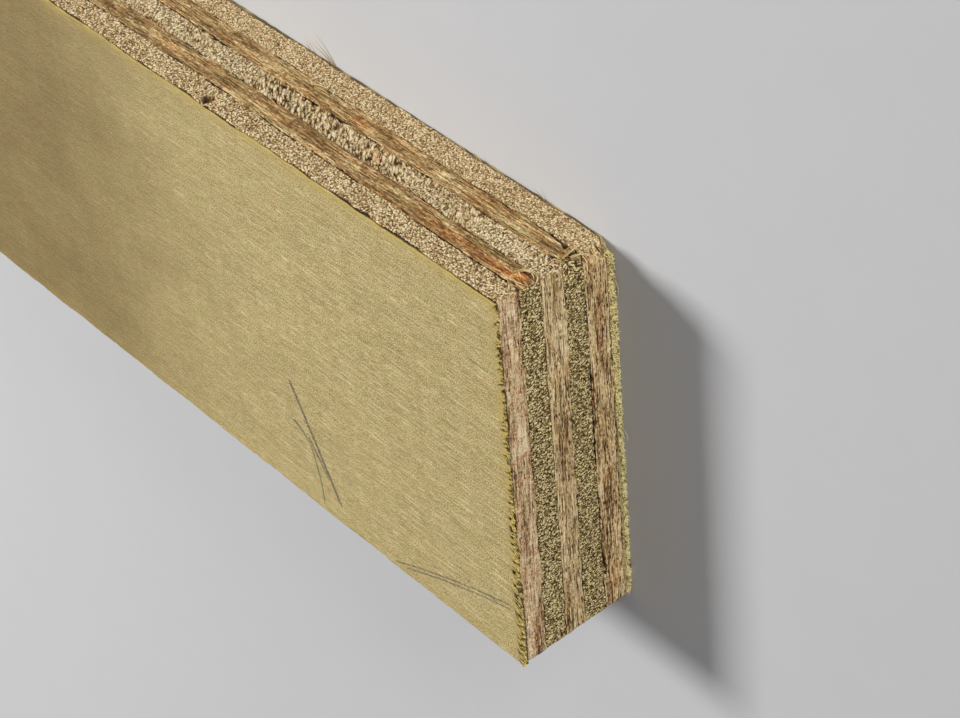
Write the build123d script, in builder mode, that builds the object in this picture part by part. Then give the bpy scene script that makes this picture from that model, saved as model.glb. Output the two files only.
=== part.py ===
"""A strip of seven-ply plywood, ripped from a panel and lying on its back veneer.

X runs along the face grain, Y across it and Z up through the plies. The origin is under the
middle of the strip, on the surface it lies on. Millimetres throughout.
"""
import os

from build123d import *

# The strip as it was sawn: its length, its width over the show face, and how far the ripped
# edge on the -Y side leans in from the show face down to the back, where the saw was not square
STRIP_LENGTH = 305.0
STRIP_WIDTH = 56.0
RIP_BEVEL = 2.0

# The veneers, from the back up to the show face
BACK_VENEER = 0.7
LOWER_CROSS_PLY = 3.5
LOWER_LONG_PLY = 3.2
CENTRE_CROSS_PLY = 3.35
UPPER_LONG_PLY = 3.3
UPPER_CROSS_PLY = 3.45
FACE_VENEER = 0.5

# The knocked corner, at the back of the near end: how far the loss runs along the strip,
# across it and up its arris
KNOCK_LENGTH = 2.5
KNOCK_WIDTH = 2.2
KNOCK_HEIGHT = 6.5

# The pocket torn out of the lower long ply, on the clean long edge beside the near end
TEAR_LENGTH = 2.6
TEAR_HEIGHT = 1.0
TEAR_DEPTH = 1.3
TEAR_FROM_END = 3.0

# The slit that the glue missed, on the near end, over the lower cross ply
SLIT_LENGTH = 7.2
SLIT_HEIGHT = 0.55
SLIT_DEPTH = 1.6
SLIT_FROM_RIPPED_EDGE = 10.4

# The pinhole void in the upper cross ply, on the clean long edge
VOID_LENGTH = 1.2
VOID_HEIGHT = 1.7
VOID_DEPTH = 1.4
VOID_FROM_END = 61.0
VOID_UNDER_FACE_VENEER = 0.9
VOID_FLOOR_SHARE = 0.5

# Three chips along the ripped arris of the show face, by their distance from the near end
CHIP_FROM_END = (29.0, 47.0, 58.5)
CHIP_LENGTH = 1.8
CHIP_WIDTH = 0.5

# Places worked out from the sizes above
LAYERS = (
    ("back_veneer", BACK_VENEER),
    ("lower_cross_ply", LOWER_CROSS_PLY),
    ("lower_long_ply", LOWER_LONG_PLY),
    ("centre_cross_ply", CENTRE_CROSS_PLY),
    ("upper_long_ply", UPPER_LONG_PLY),
    ("upper_cross_ply", UPPER_CROSS_PLY),
    ("face_veneer", FACE_VENEER),
)
THICKNESS = sum(layer_thickness for _, layer_thickness in LAYERS)
NEAR_END = STRIP_LENGTH / 2
CLEAN_EDGE = STRIP_WIDTH / 2
LOWER_CROSS_TOP = BACK_VENEER + LOWER_CROSS_PLY
FACE_JOINT = THICKNESS - FACE_VENEER


def ripped_edge(height):
    """Y of the ripped edge at a height: a straight lean from the face arris in to the back one."""
    return -STRIP_WIDTH / 2 + RIP_BEVEL * (1 - height / THICKNESS)


# The knocked corner: a block over the corner, split by the slanting break that cuts the three
# arrises where the loss ends
break_plane = Plane(
    origin=(NEAR_END - KNOCK_LENGTH, CLEAN_EDGE, 0),
    z_dir=(1 / KNOCK_LENGTH, 1 / KNOCK_WIDTH, -1 / KNOCK_HEIGHT),
)
with BuildPart() as knocked_corner:
    with Locations((NEAR_END, CLEAN_EDGE, 0)):
        Box(2 * KNOCK_LENGTH, 2 * KNOCK_WIDTH, 2 * KNOCK_HEIGHT)
    split(bisect_by=break_plane, keep=Keep.TOP)

# The torn pocket: a wedge that opens towards the near end, low against the glue line
with BuildPart() as torn_pocket:
    with BuildSketch(Plane.XZ.offset(-CLEAN_EDGE)):
        with BuildLine():
            Polyline(
                (NEAR_END - TEAR_FROM_END, LOWER_CROSS_TOP),
                (NEAR_END - TEAR_FROM_END, LOWER_CROSS_TOP + TEAR_HEIGHT),
                (NEAR_END - TEAR_FROM_END - TEAR_LENGTH, LOWER_CROSS_TOP),
                close=True,
            )
        make_face()
    extrude(amount=TEAR_DEPTH)

# The slit: a lens centred on the glue line, of which only the lower cross ply loses its half
with BuildPart() as glue_slit:
    with BuildSketch(Plane.YZ.offset(NEAR_END)):
        with Locations((ripped_edge(LOWER_CROSS_TOP) + SLIT_FROM_RIPPED_EDGE, LOWER_CROSS_TOP)):
            Ellipse(SLIT_LENGTH / 2, SLIT_HEIGHT)
    extrude(amount=-SLIT_DEPTH)

# The pinhole void: an oval hole that narrows inwards to its floor
void_centre = (NEAR_END - VOID_FROM_END, FACE_JOINT - VOID_UNDER_FACE_VENEER)
with BuildPart() as pinhole_void:
    for depth, share in ((0, 1), (VOID_DEPTH, VOID_FLOOR_SHARE)):
        with BuildSketch(Plane.XZ.offset(depth - CLEAN_EDGE)):
            with Locations(void_centre):
                Ellipse(share * VOID_LENGTH / 2, share * VOID_HEIGHT / 2)
    loft()

# The chips: shallow three-cornered losses out of the face veneer, through its whole thickness
with BuildPart() as face_chips:
    with BuildSketch(Plane.XY.offset(FACE_JOINT)):
        for from_end in CHIP_FROM_END:
            with BuildLine():
                Polyline(
                    (NEAR_END - from_end - CHIP_LENGTH / 2, -STRIP_WIDTH / 2),
                    (NEAR_END - from_end + CHIP_LENGTH / 2, -STRIP_WIDTH / 2),
                    (NEAR_END - from_end, -STRIP_WIDTH / 2 + CHIP_WIDTH),
                    close=True,
                )
            make_face()
    extrude(amount=FACE_VENEER)

# What each layer has lost
LOSSES = {
    "back_veneer": (knocked_corner,),
    "lower_cross_ply": (knocked_corner, glue_slit),
    "lower_long_ply": (knocked_corner, torn_pocket),
    "upper_cross_ply": (pinhole_void,),
    "face_veneer": (face_chips,),
}

os.makedirs("parts", exist_ok=True)

# Every layer is its slice of the sawn section, drawn out along the grain
layer_bottom = 0.0
for layer_name, layer_thickness in LAYERS:
    layer_top = layer_bottom + layer_thickness
    with BuildPart() as layer:
        with BuildSketch(Plane.YZ.offset(-NEAR_END)):
            with BuildLine():
                Polyline(
                    (CLEAN_EDGE, layer_bottom),
                    (CLEAN_EDGE, layer_top),
                    (ripped_edge(layer_top), layer_top),
                    (ripped_edge(layer_bottom), layer_bottom),
                    close=True,
                )
            make_face()
        extrude(amount=STRIP_LENGTH)
        for loss in LOSSES.get(layer_name, ()):
            add(loss.part, mode=Mode.SUBTRACT)
    layer.part.label = layer_name
    export_step(layer.part, f"parts/{layer_name}.step")
    print(f"{layer_name}: {layer_thickness:.2f} mm, {layer.part.volume / 1000:.1f} cm3")
    layer_bottom = layer_top
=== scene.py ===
"""A strip of seven-ply plywood, lying on its back veneer and seen from above its knocked corner.

Every length in the classes is in millimetres, in the frame of the part: X along the face grain,
Y across it, Z up from the floor. Meshes are written in metres.
"""
import logging
import math
from dataclasses import dataclass
from enum import Enum, IntEnum
from typing import Sequence

import bpy
import numpy as np
from mathutils import Matrix, Vector


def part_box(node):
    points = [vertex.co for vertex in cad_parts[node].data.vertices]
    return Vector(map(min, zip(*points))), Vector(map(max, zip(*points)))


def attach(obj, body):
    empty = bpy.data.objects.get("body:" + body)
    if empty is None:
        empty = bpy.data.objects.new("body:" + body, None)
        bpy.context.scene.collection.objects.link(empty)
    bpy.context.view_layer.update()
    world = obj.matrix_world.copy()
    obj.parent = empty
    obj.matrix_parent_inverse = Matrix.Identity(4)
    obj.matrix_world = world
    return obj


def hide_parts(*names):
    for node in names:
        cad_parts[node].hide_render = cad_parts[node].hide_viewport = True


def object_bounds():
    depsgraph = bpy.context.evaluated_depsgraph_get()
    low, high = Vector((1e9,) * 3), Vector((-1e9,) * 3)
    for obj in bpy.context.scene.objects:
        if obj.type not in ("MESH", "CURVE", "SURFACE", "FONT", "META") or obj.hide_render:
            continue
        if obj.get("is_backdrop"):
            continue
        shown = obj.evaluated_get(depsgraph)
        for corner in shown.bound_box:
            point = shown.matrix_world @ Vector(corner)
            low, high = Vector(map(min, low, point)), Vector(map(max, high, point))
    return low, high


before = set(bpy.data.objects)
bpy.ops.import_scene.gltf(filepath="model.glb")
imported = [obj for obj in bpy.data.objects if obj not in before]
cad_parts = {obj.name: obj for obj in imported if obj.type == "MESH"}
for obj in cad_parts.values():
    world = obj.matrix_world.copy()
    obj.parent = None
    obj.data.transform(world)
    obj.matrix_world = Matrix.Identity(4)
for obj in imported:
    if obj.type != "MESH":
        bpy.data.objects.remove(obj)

LOG = logging.getLogger("plywood")
MM = 0.001
Colour = tuple[float, float, float]
Point = tuple[float, float, float]
Size = tuple[float, float]
Array = np.ndarray
Object = bpy.types.Object
Material = bpy.types.Material
Socket = bpy.types.NodeSocket

# The pieces from the floor up, as the frame names them
LAYER_NAMES = (
    "back_veneer", "lower_cross_ply", "lower_long_ply", "centre_cross_ply",
    "upper_long_ply", "upper_cross_ply", "face_veneer",
)
# Number of the glue line under the show veneer, and the least cover over any glue line
FACE_JOINT = 6
LEAST_COVER = 0.07
# Fibres in one lock of the fringe
LOCK_FIBRES = 7


class Grain(Enum):
    """The way a ply's fibres run, as the axis they follow: 0 is X and 1 is Y."""

    ALONG = 0
    ACROSS = 1


class Side(Enum):
    """The four sawn sides of the strip, anticlockwise from above."""

    CLEAN = 0
    FAR = 1
    RIPPED = 2
    NEAR = 3


class Field(IntEnum):
    """Numbers of the random fields. A ply's or a glue line's own number is added to some."""

    PLY_STEP = 20
    TUFT = 0
    GROOVE = 3
    SCRATCH = 4
    RAGGED = 6
    PATCH = 7
    LUMP = 11
    SPLINTER = 14
    FACE_WAVER = 201
    FACE_FIBRE = 202
    FACE_CLUMP = 203
    FACE_NIBBLE = 204
    FACE_SAG = 205
    BACK_FIBRE = 211
    BACK_WAVER = 212
    BACK_DARK = 213
    FUR_CLUMP = 221
    OPENING = 300
    OPENING_FINE = 310
    JOINT_WAVE = 320
    JOINT_RIPPLE = 330
    BREAK = 340


# Random fields and steps


def lattice_values(corner: Array, seed: int) -> Array:
    """Random numbers from 0 to 1 at whole-numbered lattice corners.

    The three indices are multiplied by large odd numbers, joined by exclusive or, and stirred
    by shifts, so that neighbouring corners share nothing.

    Args:
        corner: Whole-numbered indices, with the three axes last.
        seed: Number of the field.

    Returns:
        One number for each corner.
    """
    words = corner.astype(np.int64).astype(np.uint64)
    stirred = words[..., 0] * np.uint64(0x9E3779B185EBCA87)
    stirred ^= words[..., 1] * np.uint64(0xC2B2AE3D27D4EB4F)
    stirred ^= words[..., 2] * np.uint64(0x165667B19E3779F9)
    stirred += np.uint64(seed * 0x27D4EB2F165667C5 & 0xFFFFFFFFFFFFFFFF)
    stirred ^= stirred >> np.uint64(29)
    stirred *= np.uint64(0xBF58476D1CE4E5B9)
    stirred ^= stirred >> np.uint64(32)
    return (stirred & np.uint64(0xFFFFF)).astype(float) / 0xFFFFF


def solid_noise(points: Array, cell: Point, seed: int) -> Array:
    """A smooth random field through space, around 0.5.

    It is a random number at every corner of a lattice of cells, and between the corners their
    sum weighted by 3f^2 - 2f^3 of the distance along each axis.

    Args:
        points: Places, with the three axes last.
        cell: Size of a cell along X, Y and Z.
        seed: Number of the field.

    Returns:
        A value from 0 to 1 at each place.
    """
    scaled = points / np.asarray(cell)
    low = np.floor(scaled)
    share = scaled - low
    share = share * share * (3 - 2 * share)
    total = np.zeros(points.shape[:-1])
    for step in np.ndindex(2, 2, 2):
        weight = np.prod(np.where(step, share, 1 - share), axis=-1)
        total += weight * lattice_values(low + step, seed)
    return total


def leaning(u: Array, z: Array, lean: float, size: Size) -> tuple[Array, Array]:
    """Places in axes turned up from a side's own by a lean in degrees, each over its size.

    Args:
        u: Places along the side.
        z: Heights.
        lean: The turn, in degrees.
        size: The units along and across.

    Returns:
        The places along the turned axis and across it.
    """
    angle = math.radians(lean)
    along = (u * math.cos(angle) + z * math.sin(angle)) / size[0]
    aside = (z * math.cos(angle) - u * math.sin(angle)) / size[1]
    return along, aside


def tufted(
    u: Array, z: Array, size: Size, lean: float, seed: int
) -> tuple[Array, Array]:
    """Scattered leaning tufts over a sawn side.

    The side is divided into cells the size of a tuft, turned to its lean, each with one centre
    at a random place. A place belongs to the nearest centre of the nine cells round it.

    Args:
        u: Places along the side.
        z: Heights.
        size: Length and width of a tuft.
        lean: Direction of its length, in degrees up from the side's axis.
        seed: Number of the field.

    Returns:
        The distance to the nearest centre, in cells, and the random number of its tuft.
    """
    along, aside = leaning(u, z, lean, size)
    low_along, low_aside = np.floor(along), np.floor(aside)
    nearest = np.full(u.shape, np.inf)
    number = np.zeros(u.shape)
    for step in np.ndindex(3, 3):
        corner_along, corner_aside = low_along + step[0] - 1, low_aside + step[1] - 1
        corner = stacked(corner_along, corner_aside, 0.0)
        off_along = along - corner_along - 0.1 - 0.8 * lattice_values(corner, seed)
        off_aside = aside - corner_aside - 0.1 - 0.8 * lattice_values(corner, seed + 1)
        distance = np.hypot(off_along, off_aside)
        closer = distance < nearest
        nearest = np.where(closer, distance, nearest)
        number = np.where(closer, lattice_values(corner, seed + 2), number)
    return nearest, number


def rise(low: float, high: float, value: Array) -> Array:
    """A smooth step: 0 below low, 1 above high and 3s^2 - 2s^3 of the share between."""
    share = np.clip((value - low) / (high - low), 0, 1)
    return share * share * (3 - 2 * share)


def between(start: float, end: float, soft: Size, value: Array) -> Array:
    """1 from a start to an end and 0 outside, with a soft step of its own at each."""
    started = rise(start - soft[0], start + soft[0], value)
    return started * rise(-end - soft[1], -end + soft[1], -value)


def stacked(x: Array, y: Array, z: Array) -> Array:
    """Places from their three coordinates, spread to one shape."""
    return np.stack(np.broadcast_arrays(x, y, z), axis=-1).astype(float)


def graded(*runs: tuple[float, float, float]) -> Array:
    """Places along a line in runs of a start, an end and a step, without the last run's end.

    Args:
        runs: A start, an end and a step for each run.

    Returns:
        The places in order.
    """
    return np.concatenate([
        np.linspace(start, end, max(1, round(abs(end - start) / step)), endpoint=False)
        for start, end, step in runs
    ])


# The strip's own geometry


@dataclass(frozen=True)
class Strip:
    """The sawn strip as a whole, with its sizes read from the frame.

    Each tuple of eight has a number for the floor side, each glue line and the show face. Torn
    fibres lift a glue line at the near end and at the clean edge, and a lift dies away over
    lift_reach. A line falls along the near end, from the clean edge to the ripped one, and the
    fall dies away over fall_reach along the strip. The bevel is how far the ripped edge leans
    in at the back, the knock how far the corner's loss runs along the strip, across it and up,
    and the face gaps are the open stretches of the clean arris.
    """

    length: float
    width: float
    bevel: float
    heights: tuple[float, ...]
    end_lift: tuple[float, ...] = (0.0, 0.55, 0.5, 0.4, 0.35, 0.35, 0.2, 0.0)
    end_fall: tuple[float, ...] = (0.0, 0.2, 0.45, 0.2, 0.3, 0.4, 0.6, 0.0)
    fall_reach: float = 14.0
    edge_lift: tuple[float, ...] = (0.0, -0.4, -0.05, -0.2, 0.1, 0.08, 0.26, 0.0)
    lift_reach: float = 0.9
    knock: Point = (2.5, 2.2, 6.5)
    end_opening: tuple[float, ...] = (0.0, 0.85, 0.85, 0.95, 0.4, 0.75, 1.1, 0.0)
    edge_opening: tuple[float, ...] = (0.0, 0.6, 0.9, 0.7, 0.9, 0.9, 1.0, 0.0)
    face_gaps: tuple[Size, ...] = ((119.8, 127.6), (130.6, 137.7), (145.7, 152.5))

    @classmethod
    def from_frame(cls) -> "Strip":
        """Reads the sizes off the boxes of the nodes.

        Returns:
            The strip, in millimetres.
        """
        boxes = [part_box(name) for name in LAYER_NAMES]
        low, high = (np.array(corner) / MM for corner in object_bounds())
        heights = (0.0,) + tuple(box[1][2] / MM for box in boxes)
        inset = boxes[0][0][1] / MM - low[1]
        bevel = inset / (1 - heights[1] / heights[-1])
        return cls(high[0] - low[0], high[1] - low[1], bevel, heights)

    @property
    def near(self) -> float:
        """X of the near end."""
        return self.length / 2

    @property
    def clean(self) -> float:
        """Y of the clean edge."""
        return self.width / 2

    @property
    def thickness(self) -> float:
        """Height of the show face over the floor."""
        return self.heights[-1]

    def lean(self, y: Array, z: Array) -> Array:
        """Y at a height for a Y on the show face, shrunk towards the clean edge by the bevel."""
        taken = self.bevel * (1 - z / self.thickness)
        return self.clean - (self.clean - y) * (1 - taken / self.width)

    def glue_line(self, number: int, x: Array, y: Array) -> Array:
        """Height of a glue line at places in plan.

        It is the line's height in the frame, plus two sine waves set off by the line's number
        and two random fields, plus the lifts, which fall off exponentially from their sides,
        less the fall along the near end. The back and the show face are flat, and no line
        comes nearer to the face than a hair.

        Args:
            number: 0 for the floor side, up to 7 for the show face.
            x: Places along the strip.
            y: Places across it.

        Returns:
            The height at each place.
        """
        height = self.heights[number]
        if number in (0, FACE_JOINT + 1):
            return np.full(np.broadcast(x, y).shape, height)
        wave = 0.05 * np.sin(x / 17.0 + y / 11.0 + 2.1 * number)
        wave = wave + 0.03 * np.sin(x / 4.3 - y / 5.9 + 1.3 * number)
        places = stacked(x, y, 0.0)
        for swing, size, field in ((0.24, 2.6, Field.JOINT_WAVE), (0.12, 0.6, Field.JOINT_RIPPLE)):
            wave = wave + swing * (solid_noise(places, (size, size, 1), field + number) - 0.5)
        at_end = np.exp((x - self.near) / self.lift_reach)
        at_edge = np.exp((y - self.clean) / self.lift_reach) * (1 - at_end)
        across = (self.clean - y) / self.width
        fall = self.end_fall[number] * across * np.exp((x - self.near) / self.fall_reach)
        wave = wave + self.end_lift[number] * at_end + self.edge_lift[number] * at_edge - fall
        return np.minimum(height + wave, self.thickness - LEAST_COVER)

    def break_corner(self, points: Array) -> Array:
        """Brings what stands beyond the knocked corner's break back to it.

        The break's plane cuts the three arrises at the ends of the loss. The sum of a point's
        distances from the corner along the three axes, each over its own run, is 1 on that
        plane and less beyond it, and a point beyond it moves back along the plane's normal.
        A random field roughens the plane.

        Args:
            points: Places, with the three axes last.

        Returns:
            The places, with none beyond the break.
        """
        inward = np.array([-1.0, -1.0, 1.0])
        off = (points - np.array([self.near, self.clean, 0])) * inward
        normal = 1 / np.array(self.knock)
        ragged = 0.1 * (solid_noise(points, (0.5, 0.5, 0.5), Field.BREAK) - 0.5)
        beyond = np.clip(1 + ragged - (off * normal).sum(axis=-1), 0, None)
        return points + beyond[..., None] * normal / (normal**2).sum() * inward


@dataclass(frozen=True)
class Outline:
    """The strip's sawn sides in plan, as columns anticlockwise from the near clean corner.

    Each column has its place on the show face, an outward direction, which is halfway between
    two sides at a corner, the number of its side and its distance to the nearest corner.
    """

    x: Array
    y: Array
    out: Array
    side: Array
    to_corner: Array

    @classmethod
    def around(cls, strip: Strip, end_step: float, runs: Sequence[Size]) -> "Outline":
        """Spaces columns round the strip, closer together towards the near end.

        Args:
            strip: The strip to go round.
            end_step: Spacing over the near end.
            runs: How far from the near end each run of the long edges goes, and its spacing.

        Returns:
            The outline, with one column exactly on each corner.
        """
        near, clean = strip.near, strip.clean
        stops = [0.0] + [reach for reach, _ in runs[:-1]] + [strip.length]
        along = graded(*(
            (near - start, near - stop, step)
            for start, stop, (_, step) in zip(stops, stops[1:], runs)
        ))
        back = np.append(along[1:], -near)[::-1]
        near_across = graded((-clean, clean, end_step))
        far_across = graded((clean, -clean, 3 * end_step))
        sides = (
            (along, np.full(len(along), clean), (0, 1, 0)),
            (np.full(len(far_across), -near), far_across, (-1, 0, 0)),
            (back, np.full(len(back), -clean), (0, -1, 0)),
            (np.full(len(near_across), near), near_across, (1, 0, 0)),
        )
        counts = [len(places) for places, _, _ in sides]
        x, y = (np.concatenate([side[axis] for side in sides]) for axis in (0, 1))
        out = np.repeat([side[2] for side in sides], counts, axis=0).astype(float)
        starts = np.cumsum([0] + counts[:-1])
        out[starts] = (out[starts] + out[starts - 1]) / math.sqrt(2)
        to_corner = np.hypot(near - np.abs(x), clean - np.abs(y))
        return cls(x, y, out, np.repeat(np.arange(4), counts), to_corner)

    def on(self, *sides: Side) -> Array:
        """Whether each column is on one of the sides."""
        return np.isin(self.side, [side.value for side in sides])

    @property
    def across(self) -> Array:
        """Whether each column is on one of the ends."""
        return self.on(Side.NEAR, Side.FAR)

    @property
    def u(self) -> Array:
        """Each column's place along its own side: X on the long edges and Y on the ends."""
        return np.where(self.across, self.y, self.x)

    @property
    def places(self) -> Array:
        """Each column's place in plan."""
        return stacked(self.x, self.y, 0.0)

    def opened(self, strip: Strip, number: int) -> Array:
        """How far a glue line of the strip has opened at each column, from 0 to about 1.

        A coarse noise along the outline, stepped so that the line comes and goes in dashes,
        times a fine one. Under the show veneer the near end is open all along, and so are
        three stretches of the clean arris.

        Args:
            strip: The strip.
            number: Number of the glue line.

        Returns:
            The opening at each column.
        """
        coarse = solid_noise(self.places, (2.6, 2.6, 1), Field.OPENING + number)
        fine = solid_noise(self.places, (0.4, 0.4, 1), Field.OPENING_FINE + number)
        dashes = rise(0.34, 0.6, coarse) * (0.35 + fine)
        dashes = dashes * np.where(self.across, strip.end_opening[number], strip.edge_opening[number])
        if number == FACE_JOINT:
            gaps = sum(between(start, end, (0.6, 0.4), self.x) for start, end in strip.face_gaps)
            visible = rise(114.0, 116.0, self.x)
            clean = (1 - visible) * dashes + visible * (0.15 + 1.3 * gaps)
            dashes = np.where(self.on(Side.CLEAN), clean, dashes)
            dashes = np.where(self.on(Side.NEAR), 0.7 + 0.5 * fine, dashes)
        return dashes

    def loops(
        self, strip: Strip, insets: Sequence[float], loss: Array, number: int, fade: float = 3.0
    ) -> Array:
        """Loops drawn in from the outline over a glue line or a face.

        At each inset, X and Y shrink in proportion to the half length and half width, so that
        an inset of half the width brings the loop down to the middle line. What the arris has
        lost fades out over the first few millimetres.

        Args:
            strip: The strip.
            insets: Distances in from the arris, growing.
            loss: How far each column's arris lies behind the sawn plane.
            number: Number of the glue line or face.
            fade: Distance over which the arris's loss fades out.

        Returns:
            The loops, in the order of the insets.
        """
        loops = []
        for inset in insets:
            left = max(0.0, 1 - inset / fade)
            x = self.x * (1 - inset / strip.near)
            y = self.y * (1 - inset / strip.clean)
            z = strip.glue_line(number, x, y)
            loop = strip.break_corner(stacked(x, strip.lean(y, z), z))
            loops.append(loop - (left * loss)[:, None] * self.out)
        return np.stack(loops)


class Tint(Enum):
    """What a mark does to the colour of the wood: nothing, a darkening as painted shade in a hollow, crack
    or slit, or a rust stain.
    """

    NONE = "none"
    HOLLOW_SHADE = "pit"
    RUST = "rust"


@dataclass(frozen=True)
class Mark:
    """An oval hollow, crack, stain or swelling in a sawn side, placed in the side's own u and z.

    The run and the height are half sizes, the depth is negative where the mark stands out, and the lean is
    in degrees up from the side's axis. By default a mark darkens its place with painted shade, as in a
    hollow or a crack; some marks are only that, with no depth.
    """

    side: Side
    u: float
    z: float
    run: float
    height: float
    depth: float = 0.0
    lean: float = 0.0
    tint: Tint = Tint.HOLLOW_SHADE
    strength: float = 0.9

    def share(self, outline: Outline, z: Array, ragged: Array) -> Array:
        """1 inside the oval and 0 outside, with a soft ragged rim.

        The oval's own radius is found in coordinates turned to its lean and divided by its
        half sizes, and the rim moves in and out with the ragged field.

        Args:
            outline: The strip's columns.
            z: Heights on the wall.
            ragged: A random field there, around 0.5.

        Returns:
            The share at each place of the wall.
        """
        along, aside = leaning(outline.u - self.u, z - self.z, self.lean, (self.run, self.height))
        radius = np.hypot(along, aside) + 0.5 * (ragged - 0.5)
        return (1 - rise(0.6, 1.15, radius)) * outline.on(self.side)


@dataclass
class Skin:
    """A closed surface round one layer, as loops of columns from its middle line over and under.

    The loops run from the middle line of the top, out to the arris, down the sawn wall and back
    along the underside to its middle line. The shades are named values from 0 to 1 at each
    place, which the finish reads.
    """

    points: Array
    shades: dict[str, Array]

    def build(self, name: str) -> Object:
        """Makes the object, with the coincident points of the two middle lines welded.

        Args:
            name: Name of the piece.

        Returns:
            The object, without a finish.
        """
        loops, columns = self.points.shape[:2]
        flat = self.points.reshape(-1, 3)
        _, kept, link = np.unique(
            np.round(flat, 4), axis=0, return_index=True, return_inverse=True
        )
        grid = link.reshape(loops, columns)
        beside = np.roll(grid, -1, axis=1)
        quads = np.stack([grid[:-1], grid[1:], beside[1:], beside[:-1]], axis=-1).reshape(-1, 4)
        repeats = quads == np.roll(quads, -1, axis=1)
        whole = quads[~repeats.any(axis=1)]
        pinched = quads[repeats.sum(axis=1) == 1]
        corners = ~(pinched == np.roll(pinched, -1, axis=1))
        faces = whole.tolist() + pinched[corners].reshape(-1, 3).tolist()
        shades = {shade: values.reshape(-1)[kept] for shade, values in self.shades.items()}
        return make_object(name, flat[kept], faces, shades)


def make_object(
    name: str, points: Array, faces: list[list[int]], shades: dict[str, Array]
) -> Object:
    """Makes a smooth-shaded mesh object at the origin, with its shades as point attributes.

    Args:
        name: Name of the piece.
        points: Places in millimetres.
        faces: Lists of point indices, outwards by the right-hand rule.
        shades: Named values at each point.

    Returns:
        The object, linked to the scene.
    """
    mesh = bpy.data.meshes.new(name)
    mesh.from_pydata((points * MM).tolist(), [], faces)
    mesh.polygons.foreach_set("use_smooth", np.ones(len(mesh.polygons), dtype=bool))
    for shade_name, values in shades.items():
        attribute = mesh.attributes.new(shade_name, "FLOAT", "POINT")
        attribute.data.foreach_set("value", np.asarray(values, dtype=np.float32))
    mesh.update()
    piece = bpy.data.objects.new(name, mesh)
    bpy.context.scene.collection.objects.link(piece)
    return piece


def dressed(
    piece: Object, material: Material, node: str | None = None
) -> Object:
    """Gives a piece its material, its body and the node it stands for.

    Args:
        piece: The object.
        material: Its finish.
        node: The node it stands for, if any.

    Returns:
        The same object.
    """
    piece.data.materials.append(material)
    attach(piece, "root")
    if node is not None:
        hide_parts(node)
    return piece


# Node work shared by the finishes


class Nodes:
    """A node tree, with one short call that adds a node to it."""

    def __init__(self, tree: bpy.types.NodeTree) -> None:
        """Takes up a tree."""
        self.tree = tree

    def put(self, socket: Socket, value) -> None:
        """Links a socket into another, or sets the other's constant.

        Args:
            socket: The input.
            value: A socket, a number or a colour.
        """
        if isinstance(value, Socket):
            self.tree.links.new(value, socket)
        elif isinstance(value, tuple) and len(value) == 3 and socket.type == "RGBA":
            socket.default_value = (*value, 1)
        else:
            socket.default_value = value

    def add(self, kind: str, inputs: dict, **settings) -> bpy.types.Node:
        """Adds a node with its settings, and with sockets or constants at its inputs.

        Args:
            kind: The node's type, without its prefix.
            inputs: Sockets or constants, by the inputs' names or numbers.
            settings: The node's own properties.

        Returns:
            The node.
        """
        node = self.tree.nodes.new("ShaderNode" + kind)
        for name, value in settings.items():
            setattr(node, name, value)
        for name, value in inputs.items():
            self.put(node.inputs[name], value)
        return node


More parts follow.
